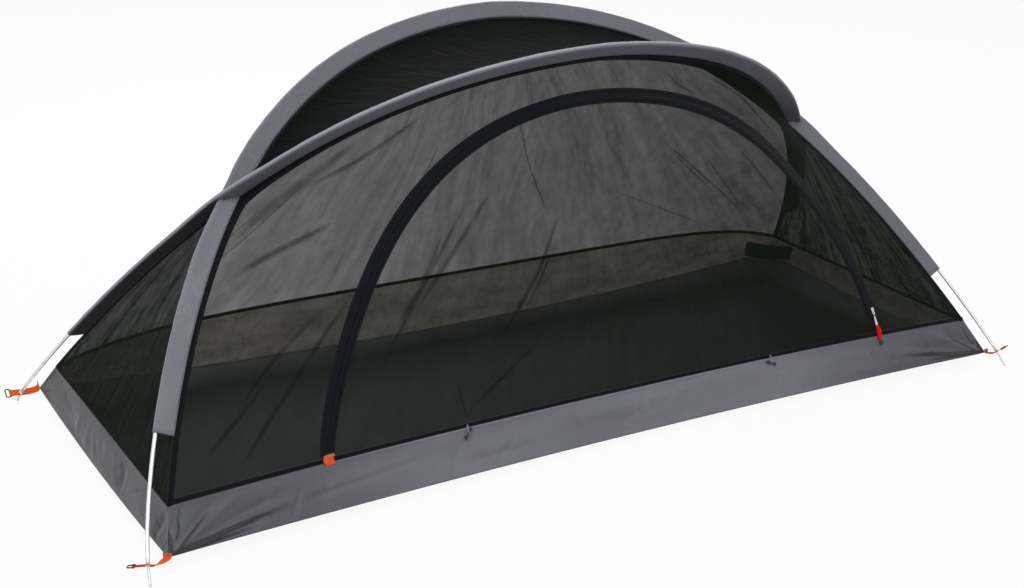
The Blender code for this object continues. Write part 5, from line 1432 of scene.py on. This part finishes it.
# One half of the bar from its waist, as shares of its half length and radius
TOGGLE_HALF = ((0.11, 0.33), (0.16, 0.36), (0.26, 0.5), (0.4, 0.62), (0.62, 0.66), (0.86, 0.62), (0.94, 0.58),
               (0.985, 0.46), (1.0, 0.3))
TOGGLE_STATIONS = [*[(-a, r) for a, r in TOGGLE_HALF[::-1]], *TOGGLE_HALF]
elastic = webbing("loop_elastic", (0.36, 0.36, 0.37), (), 0.0009, 0.2, 0.7)
toggle_plastic = moulded("toggle_plastic", (0.01, 0.01, 0.011), 0.36)


def wall_face_point(x, height):
    """A point on the front wall or, above it, on the front net."""
    top, low = long_top(FRONT, x / TOP_CORNER[0]), floor_edge(x / TOP_CORNER[0], -1.0)
    if height >= top[2]:
        return front_face.point(x, height)
    share = (height - low[2]) / (top[2] - low[2])
    return np.array([x, low[1] + (top[1] - low[1]) * share, height])


for name, share, tilt in (("toggle_left", -0.377, math.radians(50.0)), ("toggle_right", 0.404, math.radians(-22.0))):
    x = share * TOP_CORNER[0]
    height = float(binding_top(x)) - TOGGLE_DROP
    upper, lower = wall_face_point(x, height), wall_face_point(x, height - TOGGLE_LOOP_LENGTH)
    down = unit(lower - upper)
    out = unit(np.cross(down, [1.0, 0.0, 0.0]))
    out = out if out[1] < 0 else -out
    centre = upper + out * (TOGGLE_LOOP_RADIUS + TOGGLE_STAND_OFF)
    path = []
    for end, sign in ((0.0, 1.0), (TOGGLE_LOOP_LENGTH, -1.0)):
        for turn in np.linspace(0.0, math.pi, 18):
            path.append(centre + down * (end - sign * TOGGLE_LOOP_RADIUS * math.sin(turn))
                        + out * sign * TOGGLE_LOOP_RADIUS * math.cos(turn))
        for part in (0.2, 0.4, 0.6, 0.8):
            sag = 0.00035 * math.sin(part * math.pi)
            reach = end + (TOGGLE_LOOP_LENGTH - 2 * end) * part
            path.append(centre + down * reach - out * sign * (TOGGLE_LOOP_RADIUS - sag))
    section = round_section(0.0009, 12, 0.9) * (1.15, 1.0)
    loop = swept(f"{name}_elastic", path, (1.0, 0.0, 0.0), section, elastic, loop=True)
    dressed(loop, name, "grey_elastic", f"{name}_loop")
    bar_way = np.array([math.cos(tilt), 0.0, 0.0]) - down * math.sin(tilt)
    path = [centre + down * TOGGLE_LOOP_LENGTH + bar_way * TOGGLE_HALF_LENGTH * a for a, _ in TOGGLE_STATIONS]
    bar = swept(f"{name}_bar", path, down, round_section(TOGGLE_RADIUS, 18), toggle_plastic,
                [(r, r) for _, r in TOGGLE_STATIONS])
    dressed(sharpened(bar, 50.0), name, "black_plastic", name)

# Corner tabs: orange webbing sewn in each floor corner, pulled to a grommet on the pole's tip and
# doubled back through a peg ring.

TAB_WIDTH = 0.0165
TAB_LOOP = 0.0029
TAB_PLY = 0.0007
TAB_SEWN_RISE, TAB_SEWN_OUT = 0.011, 0.0016
RING_PIVOT = (1.220985, 0.483698, 0.037992)
RING_HALF, RING_DEPTH, RING_BEND, RING_WIRE = 0.01075, 0.012, 0.0042, 0.0014
GROMMET_BELOW = 0.0462
GROMMET_HOLE = 0.0043
# Sag of the webbing, and how much it turns to lie square to the floor's corner
TAB_LIES = {"front_left": (0.005, 0.9), "front_right": (0.0014, 0.35),
            "rear_left": (0.003, 0.0), "rear_right": (0.003, 0.4)}
# The tab's line from the grommet to the corner: shares of its reach, its rise and its sag
TAB_LINE = ((1.02, 1.0, 0.0), (0.8, 0.74, 0.5), (0.5, 0.36, 1.0), (0.22, 0.06, 0.5), (0.0, 0.0, 0.0))
GROMMET_LOWER = mm((-1.2, 2.9), (-1.6, 3.3), (-1.7, 4.0), (-1.5, 5.6), (-1.1, 6.2), (-0.8, 6.1), (-0.9, 4.2))
GROMMET_OUTLINE = np.concatenate([GROMMET_LOWER, GROMMET_LOWER[::-1] * (-1.0, 1.0)])
tab_weave = webbing("corner_tab_weave", ORANGE, (0.0016, TAB_WIDTH - 0.0016), 0.0015, 0.5, 0.66)
grommet_metal = cast_metal("grommet_plating", (0.7, 0.7, 0.69), 0.28)
ring_plastic = moulded("peg_ring_plastic", (0.011, 0.011, 0.012))
for side, end in CORNERS:
    leg, hoop = LEG_NAMES[(side, end)], HOOPS[-side]
    centre, along = [v[0] for v in hoop.frames([end * (hoop.half - GROMMET_BELOW)])[:2]]
    loop_centre = np.array([end, side, 1.0]) * RING_PIVOT
    out = unit(loop_centre - centre)
    up = along if along[2] > 0 else -along
    up = unit(up - out * (up @ out))
    across = unit(np.cross(up, out))
    corner = floor_edge(end, side)
    sag, turned = TAB_LIES[leg]
    reach, rise, aside = (centre - corner) @ out, (corner - centre) @ up, (corner - centre) @ across
    line = [centre - out * reach * a + up * (rise * b - sag * c) + across * aside * b for a, b, c in TAB_LINE]
    line = smooth_path(line, 22)
    apart = unit(np.array([end, side, 0.0]))
    sewn = corner + np.array([0.0, 0.0, TAB_SEWN_RISE]) + apart * TAB_SEWN_OUT
    line = smooth_path([sewn, corner + apart * 0.003 + (0.0, 0.0, 0.001), *line[5::5]], 26)
    flat = [centre + out * a for a in np.linspace(0.0025, np.linalg.norm(loop_centre - centre) - TAB_LOOP, 11)]
    # From above the bar's middle out over it, then under it and back
    bends = [*np.linspace(-0.5, 0.5, 13)[2:], *(0.5 + np.linspace(0.0, 0.78, 11)[1:])]
    bend = [loop_centre + (out * math.sin(t * math.pi) + up * math.cos(t * math.pi)) * TAB_LOOP for t in bends]
    ply = np.array([*line, *flat])
    path = np.concatenate([ply + up * TAB_PLY * 0.55, bend, (ply - up * TAB_PLY * 0.55)[::-1]])
    share = np.linspace(1.0, 0.0, len(line))
    share = np.concatenate([share, np.zeros(len(path) - 2 * len(line)), share[::-1]])
    level = np.array([-side, end, 0.0])
    level = unit(level if level @ across > 0 else -level)
    turn = np.clip(share * 1.5, 0.0, 1.0)[:, None] ** 1.3 * turned
    sides = unit(across * (1.0 - turn) + level * turn)
    spread = np.linspace(-0.5, 0.5, 9) * TAB_WIDTH
    broad = 1.0 + 0.25 * np.clip(share * 3.0 - 2.0, 0.0, 1.0)
    rows = path[:, None] + spread[None, :, None] * (sides * broad[:, None])[:, None]
    strap = grid(f"corner_tab_{leg}_webbing", rows, run_lengths(path), spread + TAB_WIDTH / 2, tab_weave)
    shape = bmesh.new()
    shape.from_mesh(strap.data)
    spots = np.array([face.calc_center_median() for face in shape.faces]) - centre
    holed = np.linalg.norm(spots - np.outer(spots @ up, up), axis=1) < GROMMET_HOLE
    bmesh.ops.delete(shape, geom=[face for face, gone in zip(shape.faces, holed) if gone], context="FACES")
    shape.to_mesh(strap.data)
    shape.free()
    dressed(thickened(strap, TAB_PLY), "tent", "orange_webbing", f"corner_tab_{leg}")

    turns = np.linspace(0.0, 2 * math.pi, 32, endpoint=False)
    spokes = np.cos(turns)[:, None] * out + np.sin(turns)[:, None] * across
    rows = [centre + up * a + spokes * r for a, r in GROMMET_OUTLINE]
    ring = grid(f"grommet_{leg}_eyelet", rows, [*GROMMET_OUTLINE[:, 0], 0.0], np.linspace(0.0, 0.02, 33), grommet_metal,
                True, True)
    dressed(sharpened(ring, 50.0), "tent", "silver_alloy", f"grommet_{leg}")

    path = []
    for a, b, start in ((RING_BEND, RING_HALF - RING_BEND, 180), (RING_DEPTH - RING_BEND, RING_HALF - RING_BEND, 90),
                        (RING_DEPTH - RING_BEND, RING_BEND - RING_HALF, 0), (RING_BEND, RING_BEND - RING_HALF, -90)):
        for turn in np.radians(start - np.linspace(0.0, 90.0, 9)):
            path.append(loop_centre + out * (a + RING_BEND * math.cos(turn))
                        + across * (b + RING_BEND * math.sin(turn)))
    gaps = [path[k] + (path[(k + 1) % len(path)] - path[k]) * t
            for k in range(len(path)) for t in ((0.0, 0.34, 0.67) if k % 9 == 8 else (0.0,))]
    wire = swept(f"peg_ring_{leg}_wire", gaps, up, round_section(RING_WIRE), ring_plastic, loop=True)
    dressed(wire, f"ring_{leg}", "black_plastic", f"peg_ring_{leg}")
